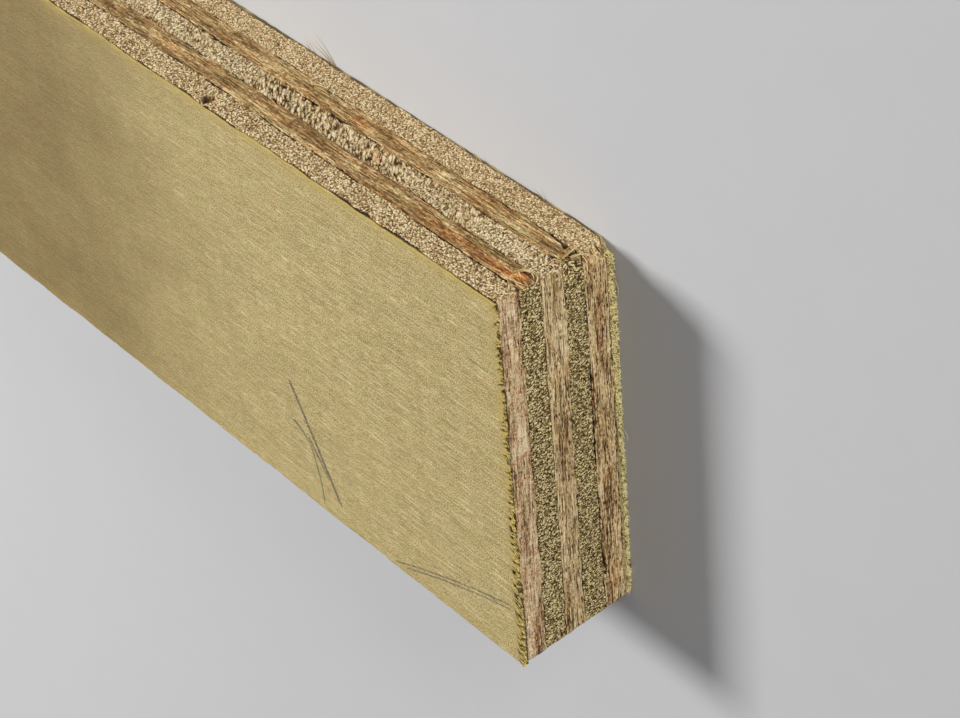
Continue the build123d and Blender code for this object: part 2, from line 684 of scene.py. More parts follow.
class Graph(Nodes):
    """A material's node tree, with a short call for each kind of node that the finishes use."""

    def __init__(self, name: str) -> None:
        """Starts a material with a principled shader, and object coordinates in millimetres.

        Args:
            name: Name of the material.
        """
        self.material = bpy.data.materials.new(name)
        self.material.use_nodes = True
        super().__init__(self.material.node_tree)
        coordinates = self.add("TexCoord", {}).outputs["Object"]
        self.place = self.mapped(coordinates, scale=(1 / MM,) * 3)

    def mapped(
        self,
        vector: Socket,
        scale: Point = (1, 1, 1),
        turn: Point = (0, 0, 0),
        origin: Point = (0, 0, 0),
        kind: str = "POINT",
    ) -> Socket:
        """Coordinates scaled, turned and moved by a Mapping node, with the turn in degrees.

        Args:
            vector: The coordinates.
            scale: Factors along the axes.
            turn: Turns about the axes.
            origin: The offset.
            kind: POINT, or TEXTURE for the inverse.

        Returns:
            The new coordinates.
        """
        turn = tuple(math.radians(angle) for angle in turn)
        inputs = {"Vector": vector, "Location": origin, "Rotation": turn, "Scale": scale}
        return self.add("Mapping", inputs, vector_type=kind).outputs["Vector"]

    def parts(self, vector: Socket) -> bpy.types.NodeOutputs:
        """The X, Y and Z of some coordinates."""
        return self.add("SeparateXYZ", {0: vector}).outputs

    def noise(
        self,
        cell: Point,
        detail: float = 2,
        roughness: float = 0.5,
        turn: Point = (0, 0, 0),
        origin: Point = (0, 0, 0),
        wobble: float = 0,
    ) -> Socket:
        """Noise whose features are about as large as the cell, in millimetres along X, Y and Z.

        Args:
            cell: Size of a feature.
            detail: Number of finer octaves.
            roughness: Strength of each octave against the one before.
            turn: Turn of the pattern, in degrees.
            origin: Offset, in cells.
            wobble: How far the noise distorts itself.

        Returns:
            The noise, around 0.5.
        """
        turned = self.mapped(self.place, turn=turn) if any(turn) else self.place
        inputs = {
            "Vector": self.mapped(turned, scale=tuple(1 / size for size in cell), origin=origin),
            "Scale": 1, "Detail": detail, "Roughness": roughness, "Distortion": wobble,
        }
        return self.add("TexNoise", inputs).outputs["Fac"]

    def cells(
        self, over: str, size: Size, lean: float = 0, origin: Size = (0, 0), warp: float = 0.5
    ) -> tuple[Socket, Socket]:
        """Scattered cells over a flat side, which is named by its two axes.

        Args:
            over: The two axes, such as XZ for a long edge.
            size: Length and width of a cell.
            lean: Direction of a cell's length, in degrees from the first axis to the second.
            origin: Offset of the pattern, in cells.
            warp: How far a noise pushes the pattern about, in cells.

        Returns:
            The distance to the nearest centre, in cells, and that centre's own number.
        """
        place = self.parts(self.place)
        flat = self.add("CombineXYZ", {0: place[over[0]], 1: place[over[1]]}).outputs[0]
        turned = self.mapped(flat, turn=(0, 0, -lean))
        celled = self.mapped(turned, scale=(1 / size[0], 1 / size[1], 1), origin=(*origin, 0))
        push = self.add("TexNoise", {"Scale": 0.8, "Vector": celled}, noise_dimensions="2D")
        sum_of = {0: push.outputs["Color"], 1: (2 * warp,) * 3, 2: celled}
        pushed = self.add("VectorMath", sum_of, operation="MULTIPLY_ADD").outputs[0]
        node = self.add("TexVoronoi", {"Scale": 1, "Vector": pushed}, voronoi_dimensions="2D")
        number = self.add("SeparateColor", {"Color": node.outputs["Color"]})
        return node.outputs["Distance"], number.outputs["Red"]

    def shade(self, name: str) -> Socket:
        """A named value of the piece's own mesh."""
        return self.add("Attribute", {}, attribute_name=name).outputs["Fac"]

    def maths(self, operation: str, first, second=0.0) -> Socket:
        """One Math node on two sockets or numbers."""
        return self.add("Math", {0: first, 1: second}, operation=operation).outputs[0]

    def times(self, first, second) -> Socket:
        """The product of two sockets or numbers."""
        return self.maths("MULTIPLY", first, second)

    def apart(self, first, second) -> Socket:
        """How far two sockets or numbers are apart."""
        return self.maths("ABSOLUTE", self.maths("SUBTRACT", first, second))

    def weighed(self, start: float, *parts: tuple) -> Socket:
        """A starting number plus each part's socket times its weight.

        Args:
            start: The starting number.
            parts: A socket and its weight for each part.

        Returns:
            The sum.
        """
        total = start
        for socket, weight in parts:
            inputs = {0: socket, 1: weight, 2: total}
            total = self.add("Math", inputs, operation="MULTIPLY_ADD").outputs[0]
        return total

    def span(self, value, low: float, high: float, start: float = 0, end: float = 1) -> Socket:
        """A smooth step of a value from low to high, onto the numbers from start to end."""
        inputs = {"Value": value, "From Min": low, "From Max": high, "To Min": start, "To Max": end}
        return self.add("MapRange", inputs, interpolation_type="SMOOTHSTEP").outputs["Result"]

    def ramp(self, value, stops: Sequence[tuple[float, Colour]]) -> Socket:
        """A colour ramp through the stops.

        Args:
            value: The place on the ramp.
            stops: Places from 0 to 1, with their colours.

        Returns:
            The colour.
        """
        node = self.add("ValToRGB", {"Fac": value})
        elements = node.color_ramp.elements
        while len(elements) < len(stops):
            elements.new(0.5)
        for element, (position, colour) in zip(elements, stops):
            element.position = position
            element.color = (*colour, 1)
        return node.outputs["Color"]

    def mix(self, share, first, second, blend: str = "MIX") -> Socket:
        """A mix of two colours by a share, with a blend mode."""
        inputs = {0: share, 6: first, 7: second}
        return self.add("Mix", inputs, data_type="RGBA", blend_type=blend).outputs[2]

    def tinted(self, colour: Socket, tint: Colour) -> Socket:
        """A colour multiplied by a tint."""
        return self.mix(1.0, colour, tint, "MULTIPLY")

    def stained(self, share, colour: Socket, tint: Colour) -> Socket:
        """A colour multiplied by a tint as far as a share says."""
        return self.mix(share, colour, self.tinted(colour, tint))

    def bump(self, height: Socket, strength: float, depth: float) -> Socket:
        """A bump of a depth in millimetres."""
        inputs = {"Strength": strength, "Distance": depth * MM, "Height": height}
        return self.add("Bump", inputs).outputs["Normal"]

    def finish(
        self, colour: Socket, roughness: float, specular: float, normal: Socket | None = None
    ) -> Material:
        """Puts the colour, the bump and the constant gloss on the shader.

        Args:
            colour: The base colour.
            roughness: The shader's roughness.
            specular: The shader's specular level.
            normal: The bump, if any.

        Returns:
            The material.
        """
        shader = self.tree.nodes["Principled BSDF"]
        self.put(shader.inputs["Base Color"], colour)
        if normal is not None:
            self.put(shader.inputs["Normal"], normal)
        self.put(shader.inputs["Roughness"], roughness)
        self.put(shader.inputs["Specular IOR Level"], specular)
        return self.material


# Finishes


@dataclass(frozen=True)
class Tones:
    """Tones of a sawn surface, from its pores to its pale tufts, and how sharply they part."""

    pore: Colour
    dark: Colour
    body: Colour
    pale: Colour
    sharpness: float = 1.0

    def stops(self) -> list[tuple[float, Colour]]:
        """Ramp stops for a tone whose middle is 0.5, drawn together about it by the sharpness."""
        places = [0.5 + place / self.sharpness for place in (-0.38, -0.16, 0.06, 0.36)]
        return list(zip(places, (self.pore, self.dark, self.body, self.pale)))


@dataclass(frozen=True)
class CoreFinish:
    """A thick core ply's finish: tufted where the saw crossed its fibres, streaked along them.

    Tufts and splinters have a length, a width and a lean in degrees up from their side's axis.
    The figure, the dash and the warmth are the strengths of the marks across the long grain,
    of its dark dashes and of its orange and olive threads. The stain, which the figure lays
    on, and the rust multiply the colour. The origin sets the pattern apart from other plies'.
    """

    name: str
    grain: Grain
    end: Tones
    along: Tones
    tuft: Size
    lean: float
    figure: float
    dash: float
    warmth: float
    origin: Point
    stain: Colour = (0.66, 0.43, 0.32)
    rust: Colour = (1.05, 0.68, 0.46)
    # Near black laid on as painted shade in hollows, sunk end grain and scratches
    pit: Colour = (0.028, 0.016, 0.007)
    # Near black of the open joints: the glue's own dark and painted shade in the gap
    gap: Colour = (0.016, 0.011, 0.007)
    splinter: Size = (1.3, 0.34)
    splinter_lean: float = 41.0

    def fibre_noise(
        self, graph: Graph, width: float, length: float, detail: float, roughness: float, **more
    ) -> Socket:
        """Noise of a fibre's width across the grain and its length along it.

        Args:
            graph: Nodes of the material.
            width: Size across the grain.
            length: Size along the grain.
            detail: Number of finer octaves.
            roughness: Strength of each octave against the one before.
            more: Other arguments of Graph.noise.

        Returns:
            The noise, around 0.5.
        """
        cell = [width] * 3
        cell[self.grain.value] = length
        more.setdefault("origin", self.origin)
        return graph.noise(tuple(cell), detail, roughness, **more)

    def end_tone(self, graph: Graph) -> Socket:
        """End grain: scattered leaning tufts, grit and clumps, and pale splinters where torn, lighter where
        the mesh stands high as painted shade of its relief.

        Args:
            graph: Nodes of the material.

        Returns:
            The tone, with 0.5 in the middle.
        """
        over = "XZ" if self.grain is Grain.ACROSS else "YZ"
        distance, number = graph.cells(over, self.tuft, self.lean, self.origin[:2])
        bead = graph.times(graph.span(distance, 0.66, 0.15), graph.weighed(0.1, (number, 0.9)))
        grit = self.fibre_noise(graph, 0.17, 3, 2, 0.75)
        clump = self.fibre_noise(graph, 0.9, 8, 3, 0.65)
        # Lighter where the mesh stands high and darker where it sinks: painted shade of the relief
        relief = graph.shade("relief")
        tufts = graph.weighed(-1.17, (bead, 0.75), (grit, 2.2), (clump, 0.5), (relief, 0.15))
        distance, number = graph.cells(over, self.splinter, self.splinter_lean, self.origin[1:])
        blade = graph.span(distance, 0.6, 0.1)
        splinters = graph.weighed(-0.86, (blade, 0.7), (number, 0.55), (grit, 1.1), (relief, 0.45))
        torn = graph.shade("torn")
        return graph.weighed(0, (graph.maths("SUBTRACT", 1, torn), tufts), (torn, splinters))

    def end_colour(self, graph: Graph, tone: Socket) -> Socket:
        """End grain's colour: the tone's own, a little pinker in some places than in others.

        Args:
            graph: Nodes of the material.
            tone: The tone, with 0.5 in the middle.

        Returns:
            The colour.
        """
        colour = graph.ramp(tone, self.end.stops())
        hue = graph.span(self.fibre_noise(graph, 0.5, 4, 2, 0.7), 0.4, 0.6)
        pinker = graph.tinted(colour, (1.02, 0.955, 0.93))
        return graph.mix(hue, pinker, graph.tinted(colour, (0.98, 0.985, 0.88)))

    def long_tone(self, graph: Graph) -> Socket:
        """Long grain: hairs, streaks and bands, with dark and pale dashes.

        Args:
            graph: Nodes of the material.

        Returns:
            The tone, with 0.5 in the middle.
        """
        over = "YZ" if self.grain is Grain.ACROSS else "XZ"
        hairs = self.fibre_noise(graph, 0.19, 2.0, 2, 0.7)
        grit = self.fibre_noise(graph, 0.17, 0.4, 1, 0.6)
        streaks = self.fibre_noise(graph, 0.42, 5, 3, 0.6, wobble=0.2)
        bands = self.fibre_noise(graph, 1.3, 13, 2, 0.5)
        tone = graph.weighed(-1.2, (hairs, 1.2), (grit, 0.8), (streaks, 0.6), (bands, 0.8))
        for size, lean, low, high, weight in (
            ((1.0, 0.2), 1.5, 0.76, 0.8, -1.2),
            ((2.2, 0.17), 0.5, 0.84, 0.87, -1.4),
            ((6.0, 0.2), -0.8, 0.84, 0.88, -1.5),
            ((1.2, 0.19), 2.0, 0.84, 0.88, 0.9),
        ):
            origin = (self.origin[0] + 10 * size[0], self.origin[1])
            distance, number = graph.cells(over, size, lean, origin, 0.25)
            line = graph.times(graph.span(distance, 0.44, 0.18), graph.span(number, low, high))
            tone = graph.weighed(tone, (line, weight * self.dash))
        return tone

    def long_colour(self, graph: Graph, tone: Socket) -> Socket:
        """Long grain's colour: orange and olive threads, and stained marks across the grain.

        Args:
            graph: Nodes of the material.
            tone: The tone, with 0.5 in the middle.

        Returns:
            The colour.
        """
        colour = plain = graph.ramp(tone, self.along.stops())
        threads = self.fibre_noise(graph, 0.4, 7, 3, 0.65, origin=(3.1, 5.7, 1.3))
        for low, high, tint in ((0.5, 0.64, (1.04, 0.82, 0.64)), (0.46, 0.36, (0.93, 0.97, 0.86))):
            share = graph.span(threads, low, high, 0, self.warmth)
            colour = graph.mix(share, colour, graph.tinted(plain, tint))
        waves = self.fibre_noise(graph, 1.5, 0.8, 2, 0.6, wobble=1.2)
        strokes = graph.span(graph.apart(waves, 0.5), 0.014, 0.05, 1, 0)
        patches = graph.noise((2.4, 2.4, 2.4), 1, 0.5, origin=self.origin)
        figure = graph.weighed(0, (strokes, 1.0), (graph.span(waves, 0.54, 0.66), 0.45))
        figure = graph.times(figure, graph.span(patches, 0.4, 0.5, 0, self.figure))
        return graph.stained(figure, colour, self.stain)

    def joint_line(self, graph: Graph, distance: str, opening: str) -> Socket:
        """The dark of an open joint, partly the glue's own and partly painted shade in the gap: a ragged
        line as wide as the joint has opened there.

        Args:
            graph: Nodes of the material.
            distance: Name of the shade with the distance to the glue line.
            opening: Name of the shade with its opening.

        Returns:
            The share, from 0 to 1.
        """
        off, opened = graph.shade(distance), graph.shade(opening)
        jag = graph.noise((0.22, 0.22, 0.22), 2, 0.7)
        edge = graph.weighed(-0.18, (off, 1.0), (jag, 0.36), (opened, -0.11))
        return graph.times(graph.span(edge, 0.02, -0.04), graph.span(opened, 0.08, 0.5))

    def material(self) -> Material:
        """Builds the material.

        Returns:
            End grain or long grain as the mesh's end_grain shade says, then rust, painted shade in the
            hollows and the open joints, with a bump that follows the same tones.
        """
        graph = Graph(self.name)
        is_end = graph.shade("end_grain")
        end, along = self.end_tone(graph), self.long_tone(graph)
        colour = graph.mix(is_end, self.long_colour(graph, along), self.end_colour(graph, end))
        colour = graph.stained(graph.shade("rust"), colour, self.rust)
        # Painted shade in hollows, sunk end grain, scratches and the darkening marks
        colour = graph.mix(graph.shade("pit"), colour, self.pit)
        # The open joints' dark: the glue's own, and painted shade in the gap
        low = self.joint_line(graph, "below", "low_joint")
        high = self.joint_line(graph, "above", "high_joint")
        colour = graph.mix(graph.maths("MAXIMUM", low, high), colour, self.gap)
        height = graph.weighed(0, (is_end, end), (graph.maths("SUBTRACT", 1, is_end), along))
        return graph.finish(colour, 0.84, 0.2, graph.bump(height, 0.8, 0.11))


@dataclass(frozen=True)
class PencilStroke:
    """One pencil stroke on the show face, from a start to an end, with a bow to its left."""

    start: Size
    end: Size
    bow: float
    width: float
    weight: float

    def share(self, graph: Graph) -> Socket:
        """How much graphite lies at each place.

        The coordinates are turned so that u runs along the stroke and v across it. The bow is
        a parabola of u, and the graphite fades with the distance of v from that parabola and
        past both ends.

        Args:
            graph: Nodes of the material.

        Returns:
            The share, from 0 to 1.
        """
        run = Vector(self.end) - Vector(self.start)
        turn = (0, 0, math.degrees(math.atan2(run.y, run.x)))
        local = graph.mapped(graph.place, turn=turn, origin=(*self.start, 0), kind="TEXTURE")
        u, v, _ = graph.parts(local)
        arch = graph.times(u, graph.maths("SUBTRACT", run.length, u))
        arch = graph.times(arch, 4 * self.bow / run.length**2)
        line = graph.span(graph.apart(v, arch), self.width * 0.2, self.width * 0.62, self.weight, 0)
        start = graph.span(u, -0.1, 0.3)
        end = graph.span(u, run.length - 1.2, run.length + 0.2, 1, 0)
        return graph.times(line, graph.times(start, end))


@dataclass(frozen=True)
class FaceFinish:
    """The sanded show veneer: khaki gold, finely streaked along its length, with pencil strokes.

    The ramp holds the grain's tones, and each kind of fleck has a size, an offset and a colour. Gold is the
    colour at the arrises. A near black is painted shade in the gaps between broken fibres and under them,
    and a tint darkens the face in clouds of its tone and with a painted falloff of light towards the far
    end.
    """

    name: str = "sanded_show_veneer"
    ramp: tuple[tuple[float, Colour], ...] = (
        (0.26, (0.22, 0.155, 0.043)), (0.5, (0.425, 0.33, 0.137)), (0.74, (0.7, 0.58, 0.3)),
    )
    flecks: tuple[tuple[Size, Size, Colour], ...] = (
        ((6.0, 0.14), (0, 0), (0.9, 0.8, 0.48)),
        ((2.4, 0.16), (3.1, 6.4), (0.9, 0.8, 0.48)),
        ((6.0, 0.14), (7.3, 2.1), (0.1, 0.065, 0.02)),
        ((1.8, 0.16), (1.9, 9.2), (0.12, 0.085, 0.03)),
    )
    gold: Colour = (0.5, 0.36, 0.08)
    # Near black of the painted shade in and under the broken fibres
    shade_and_dark: Colour = (0.05, 0.033, 0.01)
    # Tint of the clouds in the tone and of the painted falloff of light towards the far end
    falloff_and_clouds: Colour = (0.46, 0.41, 0.3)
    graphite: Colour = (0.075, 0.068, 0.045)
    strokes: tuple[PencilStroke, ...] = (
        PencilStroke((104.8, -8.9), (114.4, -25.2), 0.12, 0.74, 1.0),
        PencilStroke((104.7, -15.5), (108.5, -18.0), 0.35, 0.56, 1.0),
        PencilStroke((108.2, -17.6), (110.1, -27.2), 0.5, 0.46, 0.8),
        PencilStroke((108.0, -16.6), (112.0, -21.8), 0.0, 0.58, 0.9),
        PencilStroke((125.8, -27.1), (151.4, -18.8), 0.5, 0.36, 0.85),
        PencilStroke((128.2, -26.8), (151.4, -19.5), 0.45, 0.34, 0.8),
    )

    def grained(self, graph: Graph, x: Socket, fine: Socket) -> Socket:
        """Broad bands, streaks and flecks along the grain, crisper away from the middle.

        Args:
            graph: Nodes of the material.
            x: Places along the strip, in millimetres.
            fine: The fine streaks.

        Returns:
            The colour of the bare grain.
        """
        grit = graph.noise((0.22, 0.15, 1), 1, 0.6, origin=(7, 3, 0))
        streaks = graph.noise((9, 0.24, 1), 1, 0.6, wobble=0.1)
        bands = graph.noise((40, 2.4, 1), 2, 0.5)
        grain = graph.weighed(-1.31, (fine, 0.7), (grit, 1.5), (streaks, 0.3), (bands, 0.12))
        crisp = graph.span(graph.apart(x, 45), 15, 80, 0.55, 1.0)
        colour = graph.ramp(graph.maths("ADD", 0.5, graph.times(grain, crisp)), self.ramp)
        for size, origin, line_colour in self.flecks:
            distance, number = graph.cells("XY", size, origin=origin, warp=0.12)
            line = graph.times(graph.span(distance, 0.42, 0.2), graph.span(number, 0.91, 0.93))
            colour = graph.mix(graph.times(line, graph.times(crisp, 0.5)), colour, line_colour)
        hue = graph.span(graph.noise((4, 2.5, 1), 1, 0.5, origin=(1, 8, 0)), 0.42, 0.58)
        redder = graph.tinted(colour, (1.01, 0.992, 1.0))
        return graph.mix(hue, redder, graph.tinted(colour, (0.985, 1.0, 0.98)))

    def falloff_and_clouds_share(self, graph: Graph, x: Socket) -> Socket:
        """How far the face is darkened: in clouds of its tone, by a painted falloff of light towards the
        far end, and more over a stretch past the near third.

        Args:
            graph: Nodes of the material.
            x: Places along the strip, in millimetres.

        Returns:
            The share, from 0 to 1.
        """
        clouds = graph.noise((11, 8, 1), 2, 0.5, origin=(3, 5, 0))
        drift = graph.noise((34, 16, 1), 2, 0.5, origin=(1, 2, 0))
        # A darker stretch past the near third, fading out both ways
        middle_dark = graph.maths("MINIMUM", graph.span(x, 110, 40), graph.span(x, -130, 20))
        # Painted falloff of light, darker from near the near end towards the far one
        far = graph.span(x, 136, 20)
        dimming = graph.weighed(-0.35, (far, 0.45), (middle_dark, 0.4), (clouds, 0.4), (drift, 0.3))
        return graph.span(dimming, 0.0, 1.0)

    def graphite_share(self, graph: Graph) -> Socket:
        """How much graphite lies at each place, with skips where the grain took none.

        Args:
            graph: Nodes of the material.

        Returns:
            The share, from 0 to 1.
        """
        shares = [stroke.share(graph) for stroke in self.strokes]
        most = shares[0]
        for share in shares[1:]:
            most = graph.maths("MAXIMUM", most, share)
        skips = graph.noise((0.5, 0.2, 1), 1, 0.6, origin=(2, 9, 0))
        return graph.times(most, graph.span(skips, 0.36, 0.56, 0.3, 1))

    def material(self) -> Material:
        """Builds the material.

        Returns:
            The grain, darkened in clouds of its tone and by a painted falloff of light towards the far end,
            gold at the arrises, painted shade in and under the broken fibres, graphite where the strokes
            are, and a bump that follows the fine streaks.
        """
        graph = Graph(self.name)
        x = graph.parts(graph.place)["X"]
        fine = graph.noise((1.7, 0.16, 1), 2, 0.7)
        colour = self.grained(graph, x, fine)
        # Darker in clouds of tone and by a painted falloff of light towards the far end
        colour = graph.stained(self.falloff_and_clouds_share(graph, x), colour, self.falloff_and_clouds)
        patches = graph.span(graph.noise((2.2, 1.2, 1), 3, 0.6), 0.36, 0.56, 0.3, 1.0)
        colour = graph.mix(graph.times(graph.shade("arris"), patches), colour, self.gold)
        # Painted shade in the gaps between broken fibres and under them
        colour = graph.mix(graph.shade("shade_and_dark"), colour, self.shade_and_dark)
        colour = graph.mix(self.graphite_share(graph), colour, self.graphite)
        return graph.finish(colour, 0.62, 0.3, graph.bump(fine, 0.5, 0.05))


@dataclass(frozen=True)
class BackFinish:
    """The plain back veneer: yellow tan, streaked, unsanded."""

    name: str = "plain_back_veneer"
    ramp: tuple[tuple[float, Colour], ...] = (
        (0.34, (0.33, 0.245, 0.1)), (0.5, (0.45, 0.36, 0.165)), (0.66, (0.56, 0.47, 0.25)),
    )
    shade_and_dark: Colour = (0.07, 0.045, 0.018)

    def material(self) -> Material:
        """Builds the material: coarser streaks than the show face's, darkened where the mesh's shade says,
        with a bump that follows the streaks.

        Returns:
            The material.
        """
        graph = Graph(self.name)
        streaks = graph.noise((6, 0.4, 0.4), 4, 0.66, turn=(0, 0, -2.2), wobble=0.2)
        colour = graph.mix(graph.shade("shade_and_dark"), graph.ramp(streaks, self.ramp), self.shade_and_dark)
        return graph.finish(colour, 0.75, 0.25, graph.bump(streaks, 0.6, 0.09))


@dataclass(frozen=True)
class FibreFinish:
    """Torn wood fibres, which pale towards their tips and vary from one to the next, some dark as painted
    shade among the bright.
    """

    name: str
    dark: Colour
    root: Colour
    tip: Colour

    def material(self) -> Material:
        """Builds the material from the fibres' own tip and tone shades.

        Returns:
            The material.
        """
        graph = Graph(self.name)
        colour = graph.mix(graph.span(graph.shade("tip"), 0.1, 0.8), self.root, self.tip)
        # A low tone darkens a fibre: in the fringe, the fur and the flap these dark fibres are painted
        # shade among the bright ones
        colour = graph.mix(graph.span(graph.shade("tone"), 0.45, 0.0), colour, self.dark)
        return graph.finish(colour, 0.7, 0.2)


# The layers


@dataclass(frozen=True)
class CorePly:
    """One of the five thick core plies.

    The number is its place from the floor up, the back veneer being 0. Coarse says how rough
    its end grain is, from about 0.5 to 2. Torn is the stretch where the saw tore the clean
    edge, and torn_back how far the near end is torn back beside the clean corner. Rows are the
    steps down the wall. The rest are depths of the relief, half the height of an open joint,
    and the width of a groove or a scratch.
    """

    name: str
    number: int
    finish: CoreFinish
    slot: str
    coarse: float
    marks: tuple[Mark, ...] = ()
    torn: Size = (0.0, 0.0)
    torn_back: float = 0.0
    rows: int = 22
    groove: float = 0.1
    scratch: float = 0.12
    saw_mark: float = 0.03
    joint: float = 0.24
    joint_half: float = 0.1
    fibre: float = 0.3

    def seed(self, field: Field) -> int:
        """Number of the ply's own random field of one kind."""
        return Field.PLY_STEP * self.number + field

    def along_fibres(self, wall: Array, length: float, field: Field) -> Array:
        """A random field one fibre wide, stretched to a length along the grain.

        Args:
            wall: Places on the wall, rows first.
            length: Length of a feature along the grain.
            field: Which of the ply's fields it is.

        Returns:
            A value from 0 to 1 at each place.
        """
        cell = [self.fibre] * 3
        cell[self.finish.grain.value] = length
        return solid_noise(wall, tuple(cell), self.seed(field))

    def drawn_back(self, strip: Strip, points: Array) -> Array:
        """Points of the ply, drawn back from the near end where it is torn beside the corner.

        The loss rises from nothing to torn_back up the ply's lower half and over the last
        2.5 mm towards the corner, and the points give way over the last 2.6 mm of the length.

        Args:
            strip: The strip.
            points: Places, with the three axes last.

        Returns:
            The points in their new places.
        """
        foot = strip.heights[self.number] + 0.6
        loss = self.torn_back * rise(foot, foot + 1.6, points[..., 2])
        loss = loss * rise(strip.clean - 2.5, strip.clean - 0.3, points[..., 1])
        loss = loss * rise(strip.near - 2.6, strip.near, points[..., 0])
        return points - loss[..., None] * np.array([1.0, 0.0, 0.0])

    def torn_share(self, outline: Outline, wall: Array) -> Array:
        """How far the saw has torn each place of the clean edge, from 0 to 1.

        Args:
            outline: The strip's columns.
            wall: Places on the wall, rows first.

        Returns:
            The share at each place.
        """
        start, end = self.torn
        patch = solid_noise(wall, (4, 4, 4), self.seed(Field.PATCH))
        within = between(start, end, (3, 3), outline.x)
        torn = within * (0.45 + 0.7 * patch) + (1 - within) * 0.5 * rise(0.5, 0.7, patch)
        return np.clip(torn, 0, 1) * outline.on(Side.CLEAN) * (end > start)

    def sunk_share(self, outline: Outline, wall: Array, torn: Array) -> Array:
        """How far each place of the end grain has sunk.

        It sinks with the distance from the nearest tuft's centre, more for some tufts than for
        others, and where it is torn, with the distance from a slanting splinter's middle.

        Args:
            outline: The strip's columns.
            wall: Places on the wall, rows first.
            torn: How far each place is torn.

        Returns:
            The share at each place, from 0 to about 1.3.
        """
        z = wall[..., 2]
        u = np.broadcast_to(outline.u, z.shape)
        finish = self.finish
        tuft, number = tufted(u, z, finish.tuft, finish.lean, self.seed(Field.TUFT))
        lump, size = tufted(u, z, (1.0, 0.7), finish.lean, self.seed(Field.LUMP))
        beads = 0.6 * np.clip(tuft, 0, 1) + 0.25 * (1 - number) + 0.25 * np.clip(lump, 0, 1) * size
        seed = self.seed(Field.SPLINTER)
        blade, number = tufted(u, z, finish.splinter, finish.splinter_lean, seed)
        splinters = 0.85 * np.clip(blade, 0, 1) + 0.5 * (1 - number)
        return (1 - torn) * beads + torn * splinters

    def relief(
        self, strip: Strip, outline: Outline, wall: Array, below: Array,
        above: Array, broken: Array,
    ) -> tuple[Array, dict[str, Array]]:
        """How far the saw and the glue lines have left each place of the wall behind its plane.

        End grain sinks round its tufts and splinters. Long grain is grooved by a noise
        stretched along the fibres. The break at the corner looks as the near end does. All get
        a V where a glue line has opened, a rounding at the corners, and the marks.

        Args:
            strip: The strip.
            outline: Its columns.
            wall: Places on the wall's plane, rows first.
            below: Distance from each place to the glue line under it.
            above: Distance to the one over it.
            broken: 1 where the corner's break is, and 0 elsewhere.

        Returns:
            The depths, and the shades that the finish reads.
        """
        across = self.finish.grain is Grain.ACROSS
        crossing = (Side.CLEAN, Side.RIPPED) if across else (Side.NEAR, Side.FAR)
        is_end = outline.on(*crossing) * (1 - broken) + (not across) * broken
        z = wall[..., 2]
        torn = self.torn_share(outline, wall)
        sunk = self.sunk_share(outline, wall, torn)
        groove = self.along_fibres(wall, 7.0, Field.GROOVE)
        scratch = rise(0.7, 0.88, self.along_fibres(wall, 2.6, Field.SCRATCH))
        ends = self.coarse * (0.3 + 0.3 * torn) * sunk
        depth = is_end * ends + (1 - is_end) * (self.groove * groove + self.scratch * scratch)
        scoring = np.sin(4.2 * outline.x + 0.9 * z + 3 * np.sin(0.21 * outline.x))
        depth = depth + self.saw_mark * scoring * outline.on(Side.RIPPED)
        ragged = solid_noise(wall, (0.45, 0.45, 0.45), self.seed(Field.RAGGED))
        rounding = np.exp(-outline.to_corner / 0.25) * (0.1 + 0.22 * ragged) * (1 - broken)
        uneven = 0.1 * (ragged - 0.5)
        low_joint, high_joint = (outline.opened(strip, self.number + line) for line in (0, 1))
        low_gap = low_joint * np.exp(-(((below + uneven) / self.joint_half) ** 2))
        high_gap = high_joint * np.exp(-(((above + uneven) / self.joint_half) ** 2))
        depth = depth + self.joint * np.maximum(low_gap, high_gap) + rounding
        # Painted shade: sunk end grain and long-grain scratches darken, and so do the darkening marks
        tints = {
            Tint.HOLLOW_SHADE: is_end * rise(0.6, 1.0, sunk) * 0.4 + (1 - is_end) * 0.4 * scratch,
            Tint.RUST: np.zeros_like(z),
            Tint.NONE: np.zeros_like(z),
        }
        for mark in self.marks:
            share = mark.share(outline, z, ragged)
            depth = depth + mark.depth * share
            tints[mark.tint] = np.maximum(tints[mark.tint], mark.strength * share)
        shades = {
            "end_grain": is_end,
            "torn": torn,
            # How high each place stands, which the end grain's finish paints lighter: painted shade of the
            # relief
            "relief": is_end * (1 - np.clip(sunk, 0, 1)) + (1 - is_end) * (1 - groove),
            "pit": np.clip(tints[Tint.HOLLOW_SHADE], 0, 1),
            "below": np.clip(below, 0, 1),
            "above": np.clip(above, 0, 1),
            "low_joint": np.broadcast_to(low_joint, z.shape),
            "high_joint": np.broadcast_to(high_joint, z.shape),
            "rust": tints[Tint.RUST],
        }
        return depth, shades

    def build(self, strip: Strip, outline: Outline) -> Object:
        """Makes the ply's object, with its finish, in place of its node.

        The wall's rows share out the height between the two glue lines, and a sine crowds them
        towards both. Above and below, two loops draw in from the arris to the middle line.

        Args:
            strip: The strip.
            outline: The strip's columns.

        Returns:
            The object, with its finish and its body.
        """
        even = np.linspace(1, 0, self.rows + 1)[:, None]
        share = even - 0.08 * np.sin(2 * math.pi * even)
        x, y = outline.x, outline.y
        top = strip.glue_line(self.number + 1, x, y)
        bottom = strip.glue_line(self.number, x, y)
        height = bottom + share * (top - bottom)
        sawn = stacked(x, strip.lean(y, height), height)
        wall = strip.break_corner(sawn)
        broken = rise(0.05, 0.25, np.linalg.norm(wall - sawn, axis=-1))
        depth, shades = self.relief(strip, outline, wall, height - bottom, top - height, broken)
        wall = self.drawn_back(strip, wall - depth[..., None] * outline.out)
        insets = (0.7, strip.clean)
        lid = self.drawn_back(strip, outline.loops(strip, insets, depth[0], self.number + 1))
        base = outline.loops(strip, insets, depth[-1], self.number)
        padded = {
            name: np.pad(values, ((2, 2), (0, 0)), mode="edge") for name, values in shades.items()
        }
        skin = Skin(np.concatenate([lid[::-1], wall, base]), padded)
        return dressed(skin.build(self.name + "_wood"), self.finish.material(), self.name)


